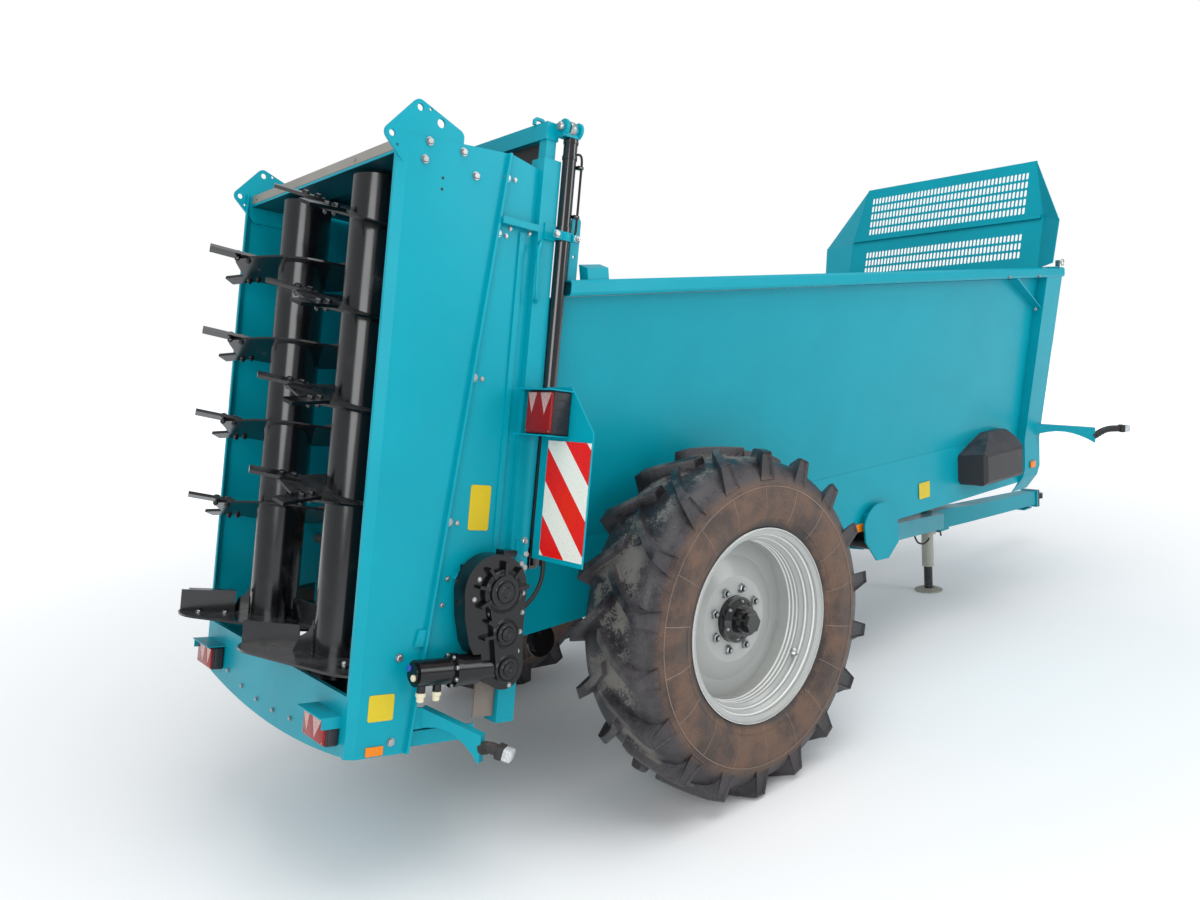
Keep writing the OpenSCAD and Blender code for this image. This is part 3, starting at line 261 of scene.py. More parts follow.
# %% A group for outdoor grime
def new_group(name, inputs, outputs):
    """A node group with its sockets, and the nodes that bring values in and take them out."""
    tree = bpy.data.node_groups.new(name, "ShaderNodeTree")
    for label, default in inputs.items():
        kind = "NodeSocketColor" if isinstance(default, tuple) else "NodeSocketFloat"
        tree.interface.new_socket(label, in_out="INPUT", socket_type=kind).default_value = default
    for label, kind in outputs.items():
        tree.interface.new_socket(label, in_out="OUTPUT", socket_type="NodeSocket" + kind)
    return tree, tree.nodes.new("NodeGroupInput").outputs, tree.nodes.new("NodeGroupOutput")


def build_grime():
    tree, given, sink = new_group(
        "outdoor_grime",
        {"Colour": (0.5, 0.5, 0.5, 1), "Dirt": (0.20, 0.15, 0.10, 1), "Clouding": 0.08, "Dust": 0.4,
         "Splash height": 0.9, "Roughness": 0.3},
        {"Colour": "Color", "Roughness": "Float"},
    )
    place = place_of(tree)
    normal = add_node(tree, "NewGeometry").outputs["Normal"]
    clouds = noise(place, 2.2, 4)
    patches = noise(place, 9.0, 6, 0.62)
    specks = noise(place, 70.0, 3, 0.6)
    # Dust lies on what faces up, and splashes reach up from the ground
    splash = minus(1.0, calc("DIVIDE", part(place, "Z"), given["Splash height"]), clamp=True)
    ground = times(splash, ramp(specks, 0.42, 0.70))
    settled = times(ramp(part(normal, "Z"), 0.45, 0.95), ramp(patches, 0.30, 0.75))
    streaked = times(ramp(patches, 0.55, 0.85), 0.35)
    mask = times(plus(plus(ground, settled), streaked), given["Dust"], clamp=True)
    # Paint clouds lighter and darker by a few hundredths
    shade = plus(times(times(minus(clouds, 0.5), given["Clouding"]), 3.0), 1.0)
    clouded = add_node(tree, "VectorMath", {0: given["Colour"], "Scale": shade}, operation="SCALE")
    rough = plus(plus(given["Roughness"], times(mask, 0.5)), times(minus(patches, 0.5), 0.16))
    fill(sink, {"Colour": blend(mask, clouded.outputs[0], given["Dirt"]),
                "Roughness": calc("MINIMUM", rough, 1.0)})
    return tree


grime = build_grime()
print("group:", grime.name, [s.name for s in grime.interface.items_tree])

# %% [markdown]
# Steel plate that was rolled, welded and sprayed isn't flat, and its gloss shows it. A second
# group gives that: a broad wave of the sheet with the fine peel of sprayed enamel over it.

# %% A group for the waviness of sprayed plate
def build_plate_wave():
    tree, given, sink = new_group("sprayed_plate", {"Wave": 0.3, "Peel": 0.15}, {"Normal": "Vector"})
    place = place_of(tree)
    broad = times(noise(place, 3.5, 1), given["Wave"])
    fine = times(noise(place, 260, 2), given["Peel"])
    fill(sink, {"Normal": bump(plus(broad, times(fine, 0.12)), 0.35, 0.004)})
    return tree


plate_wave = build_plate_wave()


def weathered(name, colour, roughness, dust, metallic=0, clouding=0.08, coat=0,
              dirt=(0.2, 0.15, 0.1), splash=0.9, wave=0.3, peel=0.15, specular=0.5):
    """A material of one ground colour with outdoor grime on it."""
    material, tree, surface = new_material(name)
    worn = add_node(tree, "Group", {
        "Colour": (*colour, 1), "Dirt": (*dirt, 1), "Clouding": clouding, "Dust": dust,
        "Splash height": splash, "Roughness": roughness}, node_tree=grime).outputs
    uneven = add_node(tree, "Group", {"Wave": wave, "Peel": peel}, node_tree=plate_wave).outputs
    fill(surface, {"Base Color": worn["Colour"], "Roughness": worn["Roughness"],
                   "Normal": uneven["Normal"], "Metallic": metallic, "Coat Weight": coat,
                   "Coat Roughness": 0.12, "Specular IOR Level": specular})
    return material


print("group:", plate_wave.name)

# %% [markdown]
# Now each finish is one call. The body is teal enamel, the beaters and hubs are black, and
# what wears or rusts is dusty. After the colour come its roughness and its dust, and then what
# differs from common enamel.

# %% Paints, castings, plastics and bare metals
teal = weathered("teal_enamel", (0, 0.3, 0.385), 0.34, 0.1, coat=0.04, specular=0.17)
black_enamel = weathered("black_enamel", (0.004, 0.004, 0.005), 0.2, 0.55, coat=0.35,
                         dirt=(0.13, 0.13, 0.135), splash=0.2, wave=0.4)
gloss_black = weathered("gloss_black", (0.003, 0.003, 0.004), 0.13, 0.08, coat=0.6, splash=0.2, wave=0.2,
                        peel=0.3)
casting = weathered("black_casting", (0.004, 0.004, 0.005), 0.22, 0.04, coat=0.25, splash=0.3, peel=0.7,
                    specular=0.3)
silver = weathered("silver_rim_paint", (0.4, 0.415, 0.4), 0.34, 0.3, coat=0.3, dirt=(0.24, 0.2, 0.15),
                   splash=0.55)
# A paler silver that paints the highlight on the rim's ridges and lip
lip_highlight_silver = weathered("silver_rim_painted_highlight", (0.8, 0.81, 0.79), 0.3, 0.1, coat=0.3, splash=0.55)
beam_grey = weathered("beam_grey", (0.27, 0.255, 0.23), 0.6, 0.5, dirt=(0.12, 0.11, 0.1), clouding=0.25,
                      wave=0.5)
# Teal darkened to paint the shade on the top beam and on the ceiling plate under it
painted_shade_teal = weathered("painted_shade_teal", (0, 0.045, 0.065), 0.4, 0.2)
barrel_grey = weathered("jack_grey", (0.42, 0.42, 0.36), 0.45, 0.5, splash=0.5)
zinc = weathered("zinc_plate", (0.36, 0.38, 0.38), 0.3, 0.18, metallic=0.85, wave=0.1)
chrome = weathered("chrome_rod", (0.62, 0.63, 0.65), 0.1, 0.05, metallic=1, wave=0, peel=0)
worn_floor = weathered("worn_floor_steel", (0.17, 0.15, 0.13), 0.55, 0.9, metallic=0.55,
                       dirt=(0.1, 0.07, 0.045), clouding=0.3)
black_plastic = weathered("moulded_plastic", (0.02, 0.019, 0.023), 0.46, 0.35, dirt=(0.16, 0.15, 0.16),
                          splash=0.4, peel=1)
hose_rubber = weathered("hose_rubber", (0.012, 0.012, 0.012), 0.55, 0.3, wave=0, peel=0.6)
pale_line_rubber = weathered("pale_line_rubber", (0.21, 0.15, 0.12), 0.6, 0.3, clouding=0.5, wave=0, peel=0.6)
yellow_sheet = weathered("yellow_sheet", (0.6, 0.46, 0.004), 0.42, 0.15, wave=0.1)
worn_board = weathered("worn_board", (0.17, 0.145, 0.125), 0.8, 0.5, clouding=0.5, wave=0.6)
cream_plastic = weathered("cream_cap", (0.72, 0.66, 0.48), 0.42, 0.2, wave=0)
blue_plastic = weathered("blue_plug", (0.02, 0.08, 0.4), 0.4, 0.1, wave=0)
print("materials so far:", len(bpy.data.materials))

# %% [markdown]
# The tyre is the largest thing near the eye. New rubber is nearly black, but this one has rolled
# over wet ground: its side walls are a dusty brown that darkens at the rim, and its tread is
# grey with dried mud low between the lugs and paler rubber where they wear. The distance from
# the axle decides which of them shows.

# %% Rubber that knows its distance from the axle
def tyre_material(name):
    material, tree, surface = new_material(name)
    place = place_of(tree)
    to_axle = {"Vector": place, "Location": (-axle.x, 0, -axle.z), "Scale": (1, 0, 1)}
    radius = length_of(add_node(tree, "Mapping", to_axle).outputs[0])
    patches = noise(place, 6.0, 6, 0.62)
    grains = noise(place, 110.0, 3, 0.6)
    uneven = plus(radius, times(minus(patches, 0.5), 0.12))
    dry = ramp(plus(patches, times(grains, 0.30)), 0.50, 0.80)
    wall = blend(dry, (0.045, 0.026, 0.019, 1), (0.140, 0.078, 0.050, 1))
    wall = blend(ramp(uneven, 0.455, 0.505), (0.020, 0.016, 0.015, 1), wall)
    crown = blend(dry, (0.014, 0.013, 0.016, 1), (0.060, 0.053, 0.058, 1))
    # Mud lies below the lugs' tops and near the middle of the tread
    off_middle = calc("ABSOLUTE", minus(calc("ABSOLUTE", part(place, "Y")), wheel_y * MM))
    middle = minus(1.0, ramp(off_middle, 0.09, 0.17))
    low = minus(1.0, ramp(radius, 0.784, 0.796))
    mud = ramp(plus(times(grains, 0.35), patches), 0.66, 0.74)
    crown = blend(times(times(low, mud), middle), crown, (0.150, 0.140, 0.125, 1))
    worn = times(ramp(radius, 0.817, 0.822), ramp(patches, 0.40, 0.62))
    crown = blend(worn, crown, (0.10, 0.092, 0.086, 1))
    fill(surface, {"Base Color": blend(ramp(uneven, 0.66, 0.72), wall, crown),
                   "Roughness": plus(0.30, times(dry, 0.34)),
                   "Normal": bump(plus(grains, times(patches, 3.0)), 0.45, 0.004)})
    return material


tyre_rubber = tyre_material("lugged_tyre")
print("tyre rubber has", len(tyre_rubber.node_tree.nodes), "nodes")

# %% [markdown]
# Lamp lenses are red plastic moulded into small prisms, which a cell pattern gives: it bumps the
# surface, and its lighter and darker cells are a painted glint of the prisms. The marker boards
# are sheets of reflective film in slanting red and white bands, with the same painted glint in
# cells. The bands are cut by a wave in the height and width of the board itself.

# %% Lenses and banded film
def lens_material(name, colour, cells=140.0, coat=0.15):
    material, tree, surface = new_material(name)
    prisms = add_node(tree, "TexVoronoi", {"Vector": place_of(tree), "Scale": cells}).outputs["Distance"]
    # Lighter and darker copies of the colour paint the glint of each prism
    bright, deep = ((*[c * share for c in colour], 1) for share in (1.1, 0.75))
    fill(surface, {"Base Color": blend(ramp(prisms, 0.1, 0.6), bright, deep), "Roughness": 0.16,
                   "Normal": bump(prisms, 0.4, 0.002), "Specular IOR Level": 0.25, "Coat Weight": coat})
    return material


red_lens = lens_material("red_lens", (0.33, 0.004, 0.004))
amber_lens = lens_material("amber_reflector", (0.95, 0.26, 0.004), 420.0, 0.2)
clear_lens = lens_material("clear_lens", (0.62, 0.64, 0.66))
pale_lens = lens_material("pale_wedge", (0.62, 0.36, 0.33))
BAND = 0.1414


def banded_film(name):
    material, tree, surface = new_material(name)
    place = place_of(tree)
    # Height along the board from the rear unit's foot, then bands across the slant
    along = calc("DIVIDE", minus(part(place, "Z"), 0.545), math.cos(math.radians(lean)))
    slant = minus(plus(along, calc("ABSOLUTE", part(place, "Y"))), 2.125 - BAND)
    turns = calc("FRACT", calc("DIVIDE", slant, 2 * BAND))
    band = ramp(calc("ABSOLUTE", minus(turns, 0.5)), 0.247, 0.253)
    cells = add_node(tree, "TexVoronoi", {"Vector": place, "Scale": 160.0}).outputs["Distance"]
    glint = ramp(cells, 0.2, 0.7)
    red = blend(glint, (0.82, 0.010, 0.006, 1), (0.70, 0.008, 0.005, 1))
    pale = blend(glint, (0.84, 0.82, 0.74, 1), (0.76, 0.74, 0.67, 1))
    fill(surface, {"Base Color": blend(band, red, pale), "Roughness": 0.28, "Specular IOR Level": 0.3})
    return material


board_film = banded_film("banded_film")
print("lenses ready, bands", BAND, "m wide")

# %% [markdown]
# ## Paint the solid model
# Each node keeps its shape and takes the finish that its piece has on the real machine. A table
# from finish to nodes says it at a glance; what isn't in it is body steel, and teal.

# %% One finish for each node
finishes = (
    (black_enamel, "axle_beam brake_cylinders drawbar_pivot jack_leg beater_right beater_left"),
    (gloss_black, "hub_right hub_left door_cylinders"),
    # The top beam takes teal darkened as painted shade
    (painted_shade_teal, "top_beam"),
    (casting, "towing_eye beater_gearbox floor_gearbox drive_motor shaft_bearings"),
    (silver, "rim_right rim_left"),
    (tyre_rubber, "tyre_right tyre_left"),
    (zinc, "line_shaft"),
    (barrel_grey, "jack_barrel"),
    (worn_floor, "floor_plate conveyor_top conveyor_return conveyor_drive_shaft conveyor_idler"),
    (black_plastic, "storage_box cardan_guard"),
    (red_lens, "low_lamps high_lamps"),
    (board_film, "marker_boards"),
)
finish_of = {name: material for material, names in finishes for name in names.split()}
for name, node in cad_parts.items():
    node.data.materials.clear()
    node.data.materials.append(finish_of.get(name, teal))
print("painted", len(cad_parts), "nodes,", len(finish_of), "of them not teal")

# %% [markdown]
# ## Shaping tools
# Most of what is added is small and repeated: bolts, nuts, plates with rounded corners, turned
# rings, and bent bars or hoses. Each kind has one helper that draws it in millimetres. They
# draw into the mesh that `piece` lends. When its block ends, it merges doubled points, turns
# the faces outward, marks edges sharper than an angle so that flats stay flat under smooth
# shading, and says which body of the machine the piece rides on.

# %% Opening and closing a piece
def aimed(place, outward, degrees=0.0):
    """A matrix at place whose own Z points outward, turned about it by degrees."""
    aim = Vector(outward).to_track_quat("Z", "Y").to_matrix().to_4x4()
    return Matrix.Translation(place) @ aim @ spin(degrees)


def stamp(mesh, shape, place):
    """Add a copy of a ready shape to mesh at place."""
    copy = shape.copy()
    copy.transform(place)
    mesh.from_mesh(copy)
    bpy.data.meshes.remove(copy)


to_other_side = Matrix.Scale(-1, 4, (0, 1, 0))


@contextmanager
def piece(name, material, place=rear, body="chassis", both=False, sharp=32):
    """Lend an empty mesh, in millimetres of place, and close it as a piece when its block ends."""
    mesh = bmesh.new()
    yield mesh
    if both:
        face_out(mesh)
        half = bpy.data.meshes.new(name + "_half")
        mesh.to_mesh(half)
        stamp(mesh, half, to_other_side)
    bmesh.ops.remove_doubles(mesh, verts=mesh.verts, dist=0.01)
    face_out(mesh)
    bmesh.ops.transform(mesh, matrix=place, verts=mesh.verts)
    if place.determinant() < 0:
        bmesh.ops.reverse_faces(mesh, faces=mesh.faces)
    for face in mesh.faces:
        face.smooth = True
    for edge in mesh.edges:
        edge.smooth = len(edge.link_faces) == 2 and edge.calc_face_angle(0) < math.radians(sharp)
    made = add_object(name, to_data(mesh, name))
    made.data.materials.append(material)
    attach(made, body)


def pair(name, material, place=rear, body="chassis"):
    """A piece whose half is drawn for the right side, and repeated on the left."""
    return piece(name, material, place, body, both=True)


# %% [markdown]
# The shapes themselves are few. A profile is turned about an axis, a box gets rounded edges, an
# outline is thickened, and a round bar follows a smooth path.

# %% Turned, boxed, flat and bent shapes
def turned(mesh, profile, steps, place=Matrix()):
    """Spin a profile of (radius, height) points about the Z axis of place."""
    points = [mesh.verts.new(place @ Vector((radius, 0, height))) for radius, height in profile]
    edges = [mesh.edges.new(pair) for pair in zip(points, points[1:])]
    axis = place.to_3x3() @ Vector((0, 0, 1))
    bmesh.ops.spin(mesh, geom=points + edges, cent=place.translation, axis=axis,
                   angle=math.tau, steps=steps, use_merge=True)


def rounded_edges(mesh, edges, size, segments):
    return bmesh.ops.bevel(mesh, geom=edges, offset=size, segments=segments, profile=0.5,
                           affect="EDGES", material=-1)


def block(mesh, low, high, round_off=1.5, segments=2, place=Matrix()):
    """A box between two corners with all its edges rounded."""
    low, high = Vector(low), Vector(high)
    size = Matrix.Diagonal((*(high - low), 1))
    made = bmesh.ops.create_cube(mesh, size=1, matrix=Matrix.Translation((low + high) / 2) @ size)
    edges = list({edge for vert in made["verts"] for edge in vert.link_edges})
    faces = rounded_edges(mesh, edges, round_off, segments)["faces"]
    verts = {vert for face in faces for vert in face.verts}
    bmesh.ops.transform(mesh, matrix=place, verts=list(verts))


def plate(mesh, outline, thick, round_off=0.0, place=Matrix()):
    """A flat outline given as (x, y) points, thickened up along Z."""
    face = mesh.faces.new([mesh.verts.new((x, y, 0)) for x, y in outline])
    made = bmesh.ops.extrude_face_region(mesh, geom=[face])
    top = [item for item in made["geom"] if isinstance(item, bmesh.types.BMVert)]
    bmesh.ops.translate(mesh, verts=top, vec=(0, 0, thick))
    if round_off:
        rim = [edge for edge in made["geom"] if isinstance(edge, bmesh.types.BMEdge)]
        top += rounded_edges(mesh, rim, round_off, 2)["verts"]
    verts = [vert for vert in {*top, *face.verts} if vert.is_valid]
    bmesh.ops.transform(mesh, matrix=place, verts=verts)


def on_right(y):
    """A matrix that lays a plate's outline on the machine's right side, facing out."""
    return shift(0, y, 0) @ spin(90, "X")


def rounded_outline(x0, x1, y0, y1, r, steps=4):
    corners = ((x1 - r, y1 - r, 0), (x0 + r, y1 - r, 90), (x0 + r, y0 + r, 180), (x1 - r, y0 + r, 270))
    arcs = [(x, y, math.radians(start + 90 * k / steps))
            for x, y, start in corners for k in range(steps + 1)]
    return [(x + r * math.cos(a), y + r * math.sin(a)) for x, y, a in arcs]


def smooth_path(points, per_span=6):
    """Points on one smooth curve through the given ones."""
    points = [Vector(p) for p in points]
    padded = [2 * points[0] - points[1], *points, 2 * points[-1] - points[-2]]
    path = []
    for before, start, end, after in zip(padded, padded[1:], padded[2:], padded[3:]):
        for step in range(per_span):
            t = step / per_span
            path.append(0.5 * (2 * start + (end - before) * t
                               + (2 * before - 5 * start + 4 * end - after) * t * t
                               + (3 * start - before - 3 * end + after) * t ** 3))
    return path + [points[-1]]


def bridge(mesh, first, second):
    """Close the wall between two rings of points."""
    for k in range(len(first)):
        mesh.faces.new((first[k - 1], first[k], second[k], second[k - 1]))


def bent_rod(mesh, path, radius, sides=12):
    """Rings along a path, each turned only as far as the path turns, and bridged."""
    turn = (path[1] - path[0]).to_track_quat("Z", "Y")
    rings = []
    for index, point in enumerate(path):
        ahead = path[min(index + 1, len(path) - 1)] - path[max(index - 1, 0)]
        turn = (turn @ Vector((0, 0, 1))).rotation_difference(ahead.normalized()) @ turn
        place = Matrix.Translation(point) @ turn.to_matrix().to_4x4()
        cap = index in (0, len(path) - 1)
        ring = bmesh.ops.create_circle(mesh, cap_ends=cap, segments=sides, radius=radius, matrix=place)
        rings.append(ring["verts"])
    for first, second in zip(rings, rings[1:]):
        bridge(mesh, first, second)


print("a rounded plate has", len(rounded_outline(0, 9, 0, 9, 1)), "corner points")

# %% [markdown]
# Bolts are what shows that sheets were made apart and joined. One helper draws a washer and a
# six-sided head with a turned chamfer, another a nut with its stud. Both are sized by their
# thread, as a mechanic names them. A list of places is repeated on the other side of the
# machine by changing the sign of y.

# %% Bolts and nuts
def fastener(mesh, place, thread, parts):
    """Turn profiles that are given in threads, each with its number of sides."""
    for sides, profile in parts:
        turned(mesh, [(radius * thread, height * thread) for radius, height in profile], sides, place)


def bolt(mesh, place, thread):
    """Washer and hexagon head standing on place's plane, sized by the thread in millimetres."""
    fastener(mesh, place, thread, (
        (14, [(0, 0), (1.15, 0), (1.15, 0.2), (0, 0.2)]),
        (6, [(0, 0.15), (0.92, 0.15), (0.92, 0.7), (0.75, 0.85), (0, 0.85)])))


def nut(mesh, place, thread):
    """Seat, hexagon nut and the end of its stud."""
    fastener(mesh, place, thread, (
        (16, [(0, 0), (1.2, 0), (0.9, 0.25), (0, 0.25)]),
        (6, [(0, 0.1), (0.95, 0.1), (0.95, 0.85), (0.8, 1.0), (0, 1.0)]),
        (12, [(0.5, 0.9), (0.5, 1.3), (0.4, 1.38), (0, 1.38)])))


def side_bolts(mesh, y, spots, thread):
    """Bolts at (w, u) spots of the right side, and the same on the left."""
    for w, u in spots:
        bolt(mesh, aimed((w, y, u), RIGHT, 17), thread)
        bolt(mesh, aimed((w, -y, u), LEFT, 17), thread)


def bolt_row(name, spots, outward, thread, open_piece=piece, place=rear, degrees=0):
    """A piece of equal bolts that all face outward."""
    with open_piece(name, zinc, place) as mesh:
        for spot in spots:
            bolt(mesh, aimed(spot, outward, degrees), thread)


print("an M12 head is", round(2 * 0.92 * 12, 1), "mm across its corners")

# %% [markdown]
# ## Hoses
# Two hoses hang free: one here, from the lifting cylinder's foot round the corner post into the
# floor drive, and one at the jack. A hose is a fixed length of something that bends, so each is
# a smooth curve through a few points and then a tube.

# %% The drive hose
def hose(name, points, diameter, place):
    """A hose of a diameter in millimetres through points of place."""
    line = smooth_path(points)
    with piece(name, hose_rubber, place, sharp=50) as mesh:
        bent_rod(mesh, line, diameter / 2)


hose("drive_hose", [(784, -862, 832), (797, -872, 790), (804, -880, 742), (797, -885, 686),
                    (773, -886, 632), (738, -886, 589), (700, -886, 560), (662, -886, 542)], 19, rear)

# %% [markdown]
# ## Tyres
# A drive tyre is a bag of rubber with a row of slanting bars on either side. Here the bag is
# turned from half a section, with the fine ridges that the mould leaves on the side wall. Each
# bar runs from the middle of the tread round the shoulder, where it drops to a broad foot with
# a sunken panel. It is drawn once through six stations.

# %% The tyre's section and one lug
tyre_r, lug_count, tyre_steps = 823, 18, 108
half_section = [
    (781, 0), (780, 60), (777, 110), (770, 140), (757, 170), (736, 197), (710, 212), (690, 220),
    (672, 226.5), (660, 228.3), (658, 231.3), (654, 231.6), (652, 229.2), (630, 231.5), (600, 233.3),
    (575, 233), (550, 230), (525, 224.5), (509, 219.5), (506, 221), (502, 220.5), (500, 217.2),
    (489, 213), (483, 209), (470, 205), (459, 199), (454, 194), (434, 188.6), (433.5, 150),
]
other_half = [(radius, -side) for radius, side in reversed(half_section[1:])]
section = half_section + other_half + half_section[:1]

# Stations of a lug: side of foot and top, way round, radius of foot and top, half width of both
lug_stations = [
    (-12, -12, 20, 765, 823, 38, 26), (51, 51, 86, 765, 823, 33, 21), (114, 114, 137, 759, 822, 32, 20),
    (175, 175, 186, 739, 819, 38, 25), (210, 217, 207, 694, 811, 47, 31), (224, 226, 209, 662, 684, 62, 57),
]


def lug_shape():
    mesh = bmesh.new()
    rings = []
    for foot_side, top_side, way, foot, top, foot_half, top_half in lug_stations:
        ring = []
        for side, radius, offset in ((foot_side, foot, -foot_half), (foot_side, foot, foot_half),
                                     (top_side, top, top_half), (top_side, top, -top_half)):
            angle = (way + offset) / tyre_r
            ring.append(mesh.verts.new((-radius * math.sin(angle), radius * math.cos(angle), side)))
        rings.append(ring)
    tops = []
    for first, second in zip(rings, rings[1:]):
        for k in range(4):
            face = mesh.faces.new((first[k], first[(k + 1) % 4], second[(k + 1) % 4], second[k]))
            if k == 2:
                tops.append(face)
    mesh.faces.new(rings[0][::-1])
    mesh.faces.new(rings[-1])
    face_out(mesh)
    bmesh.ops.inset_individual(mesh, faces=tops[-1:], thickness=10, depth=-11)
    ridge = {edge for ring in rings[:-1] for edge in ring[2].link_edges
             if {ring[2], ring[3]} & set(edge.verts) and edge.is_manifold
             and edge.calc_face_angle(0) > math.radians(35)}
    rounded_edges(mesh, list(ridge), 4, 2)
    return to_data(mesh, "lug")


print("lugs on a tyre:", 2 * lug_count)

# %% [markdown]
# The lug is stamped round both halves of the tyre, half a pitch apart. The new tread takes the
# place of the solid model's plain one.

# %% Turn the tyre and stamp its lugs
at_right = machine @ shift(0, -wheel_y, tyre_r) @ spin(90, "X")
at_wheel = {"right": at_right, "left": to_other_side @ at_right}
swap_half = Matrix.Scale(-1, 4, (0, 0, 1))


def stamp_round(mesh, shape, start, sense):
    """Copies of a shape round both halves of a tyre, from start, half a pitch apart."""
    for step in range(lug_count):
        for late, half in ((0, Matrix()), (0.5, swap_half)):
            stamp(mesh, shape, spin(sense * 360 * (step + start + late) / lug_count) @ half)


lug = lug_shape()
for side, place in at_wheel.items():
    with piece(f"tyre_{side}_tread", tyre_rubber, place, f"wheel_{side}", sharp=34) as mesh:
        turned(mesh, section, tyre_steps)
        stamp_round(mesh, lug, 0, -1)
    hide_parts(f"tyre_{side}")

# %% [markdown]
# The mould of a tyre is made in sectors, and rubber creeps into the joints between them. It
# leaves a fine raised line down the side wall at every lug's pitch. A light edge runs round the
# wall's outer ridge.

# %% Mould lines on the side walls
line_profile = ((-2.2, -0.4), (0, 1.3), (2.2, -0.4))


def mould_line():
    mesh = bmesh.new()
    rows = [[mesh.verts.new((radius, across, side + lift)) for across, lift in line_profile]
            for radius, side in half_section if 472 < radius < 655]
    for first, second in zip(rows, rows[1:]):
        for k in range(2):
            mesh.faces.new((first[k], first[k + 1], second[k + 1], second[k]))
    return to_data(mesh, "mould_line")


line = mould_line()
# The lines and the ring on the wall's outer ridge are a paler rubber than the wall
for side, place in at_wheel.items():
    with piece(f"mould_lines_{side}", pale_line_rubber, place, f"wheel_{side}", sharp=80) as mesh:
        stamp_round(mesh, line, 0.3, 1)
        for half in (1, -1):
            turned(mesh, [(652.5, half * 230.8), (655, half * 232.3), (657.5, half * 230.8)], tyre_steps)
print("mould lines on a wall:", lug_count)

# %% [markdown]
# The disc is held by eight zinc nuts on cone seats, and the hub's cap by six small bolts. The
# valve stands out of the rim's well. The pressed ridges of the well and the lip at its edge are
# turned as rings of a paler silver, which paints the highlight that light makes on them.

# %% Wheel nuts, cap bolts, valve and ridges of the rim
nut_circle, cap_circle = 150, 88
valve = [(0, -6), (26, -6), (26, 4), (17, 9), (13, 14), (13, 34), (17, 35), (17, 58), (11, 60), (0, 60)]
lip = [(434, 189.5), (438, 194), (451, 199), (456, 206.5), (457.8, 206.5), (457.8, 200)]
for side, place in at_wheel.items():
    body = f"wheel_{side}"
    with piece(f"wheel_nuts_{side}", zinc, place, body) as mesh:
        for step in range(8):
            nut(mesh, spin(45 * (step + 0.5)) @ shift(nut_circle, 0, 28.2), 22)
        for step in range(6):
            bolt(mesh, spin(60 * (step + 0.25)) @ shift(cap_circle, 0, 67.5) @ spin(25, "Y"), 8)
    with piece(f"valve_{side}", zinc, place, body) as mesh:
        turned(mesh, valve, 18, spin(-37) @ shift(404, 0, 122) @ spin(-62, "Y"))
    # Rings of paler silver paint the highlight on the well's ridges and on the lip
    with piece(f"rim_ridges_{side}", lip_highlight_silver, place, body, sharp=60) as mesh:
        for r, out in ((423.5, 172), (405, 136), (389.5, 96), (387, 74), (385.5, 52)):
            turned(mesh, [(r + 2, out - 7), (r - 4, out - 3), (r - 4, out + 3), (r + 2, out + 7)], 96)
        turned(mesh, lip, 96)
print("wheel nuts on a circle of", 2 * nut_circle, "mm")

# %% [markdown]
# ## Rear unit
# The side panels are two folded sheets bolted over each other, and bolted again to the posts
# and to the lifting ears. Their bolts follow the panel's edge in w and u. Large ones sit on
# washers, small ones close the seam. Two drilled holes show as dark spots: black discs that
# paint the shade inside them.

# %% Bolts of the side panels
panel_y, post_y = -821.0, -850.0
large = [(125, 2387), (111, 2314), (279, 2386), (344, 2307), (491, 2336), (471, 2104), (416, 1504),
         (358, 915), (187, 380), (182, 52)]
small = [(531, 2337), (511, 2101), (455, 1503), (396, 912), (374, 686), (359, 581), (528, 2135),
         (625, 2135)]
clamp_bolts = [(715, 845), (726, 790), (706, 750), (724, 735)]
with piece("panel_bolts", zinc) as mesh:
    side_bolts(mesh, panel_y, large, 15)
    side_bolts(mesh, panel_y, small, 9)
with piece("post_bolts", zinc) as mesh:
    side_bolts(mesh, post_y, clamp_bolts, 15)
# Black discs paint the shade inside two drilled holes on each side
with piece("panel_holes", hose_rubber) as mesh:
    for u in (2262, 2218):
        for side in (-1, 1):
            turned(mesh, [(0, 0), (6, 0), (0, 0.6)], 14, aimed((196, side * -panel_y, u), (0, side, 0)))
print("bolts on the rear unit:", 2 * (len(large) + len(small) + len(clamp_bolts)))

# %% [markdown]
# A bent bar beside each post is the handle by which the net's cord is tied off, and small
# folded gussets stiffen the panel's seam. The warning plates of the real machine stay blank
# here, as thin coloured sheets with rounded corners. A worn board hangs at the panel's foot.

# %% Handles, gussets and blank plates
with pair("tie_handles", teal) as mesh:
    bent_rod(mesh, smooth_path([(668, -849, 2104), (654, -872, 2092), (638, -880, 2050), (641, -882, 1980),
                                (646, -880, 1900), (654, -872, 1864), (666, -849, 1852)], 5), 8)
with pair("seam_gussets", teal) as mesh:
    for w0, w1, u0, u1 in ((246, 311, 419, 486), (402, 441, 687, 708)):
        plate(mesh, [(w0, u0), (w1, u0), (w1, u1), (w0 + 14, u1)], 12, 1.5, on_right(panel_y + 0.4))
# Name, finish, thickness, rounding of the edge and of the corners, and each plate's w and u
for name, material, thick, edge, corner, outlines in (
        ("blank_yellow_plates", yellow_sheet, 1.6, 0, 9, ((448, 546, 884, 1070), (74, 182, 139, 242))),
        ("low_amber_reflectors", amber_lens, 6, 1.5, 4, ((76, 150, 6, 42),)),
        ("drip_boards", worn_board, 9, 1, 3, ((546, 646, 108, 318),))):
    with pair(name, material) as mesh:
        for outline in outlines:
            plate(mesh, rounded_outline(*outline, corner), thick, edge, on_right(panel_y + 0.3))
    print(name, "on each side:", len(outlines))
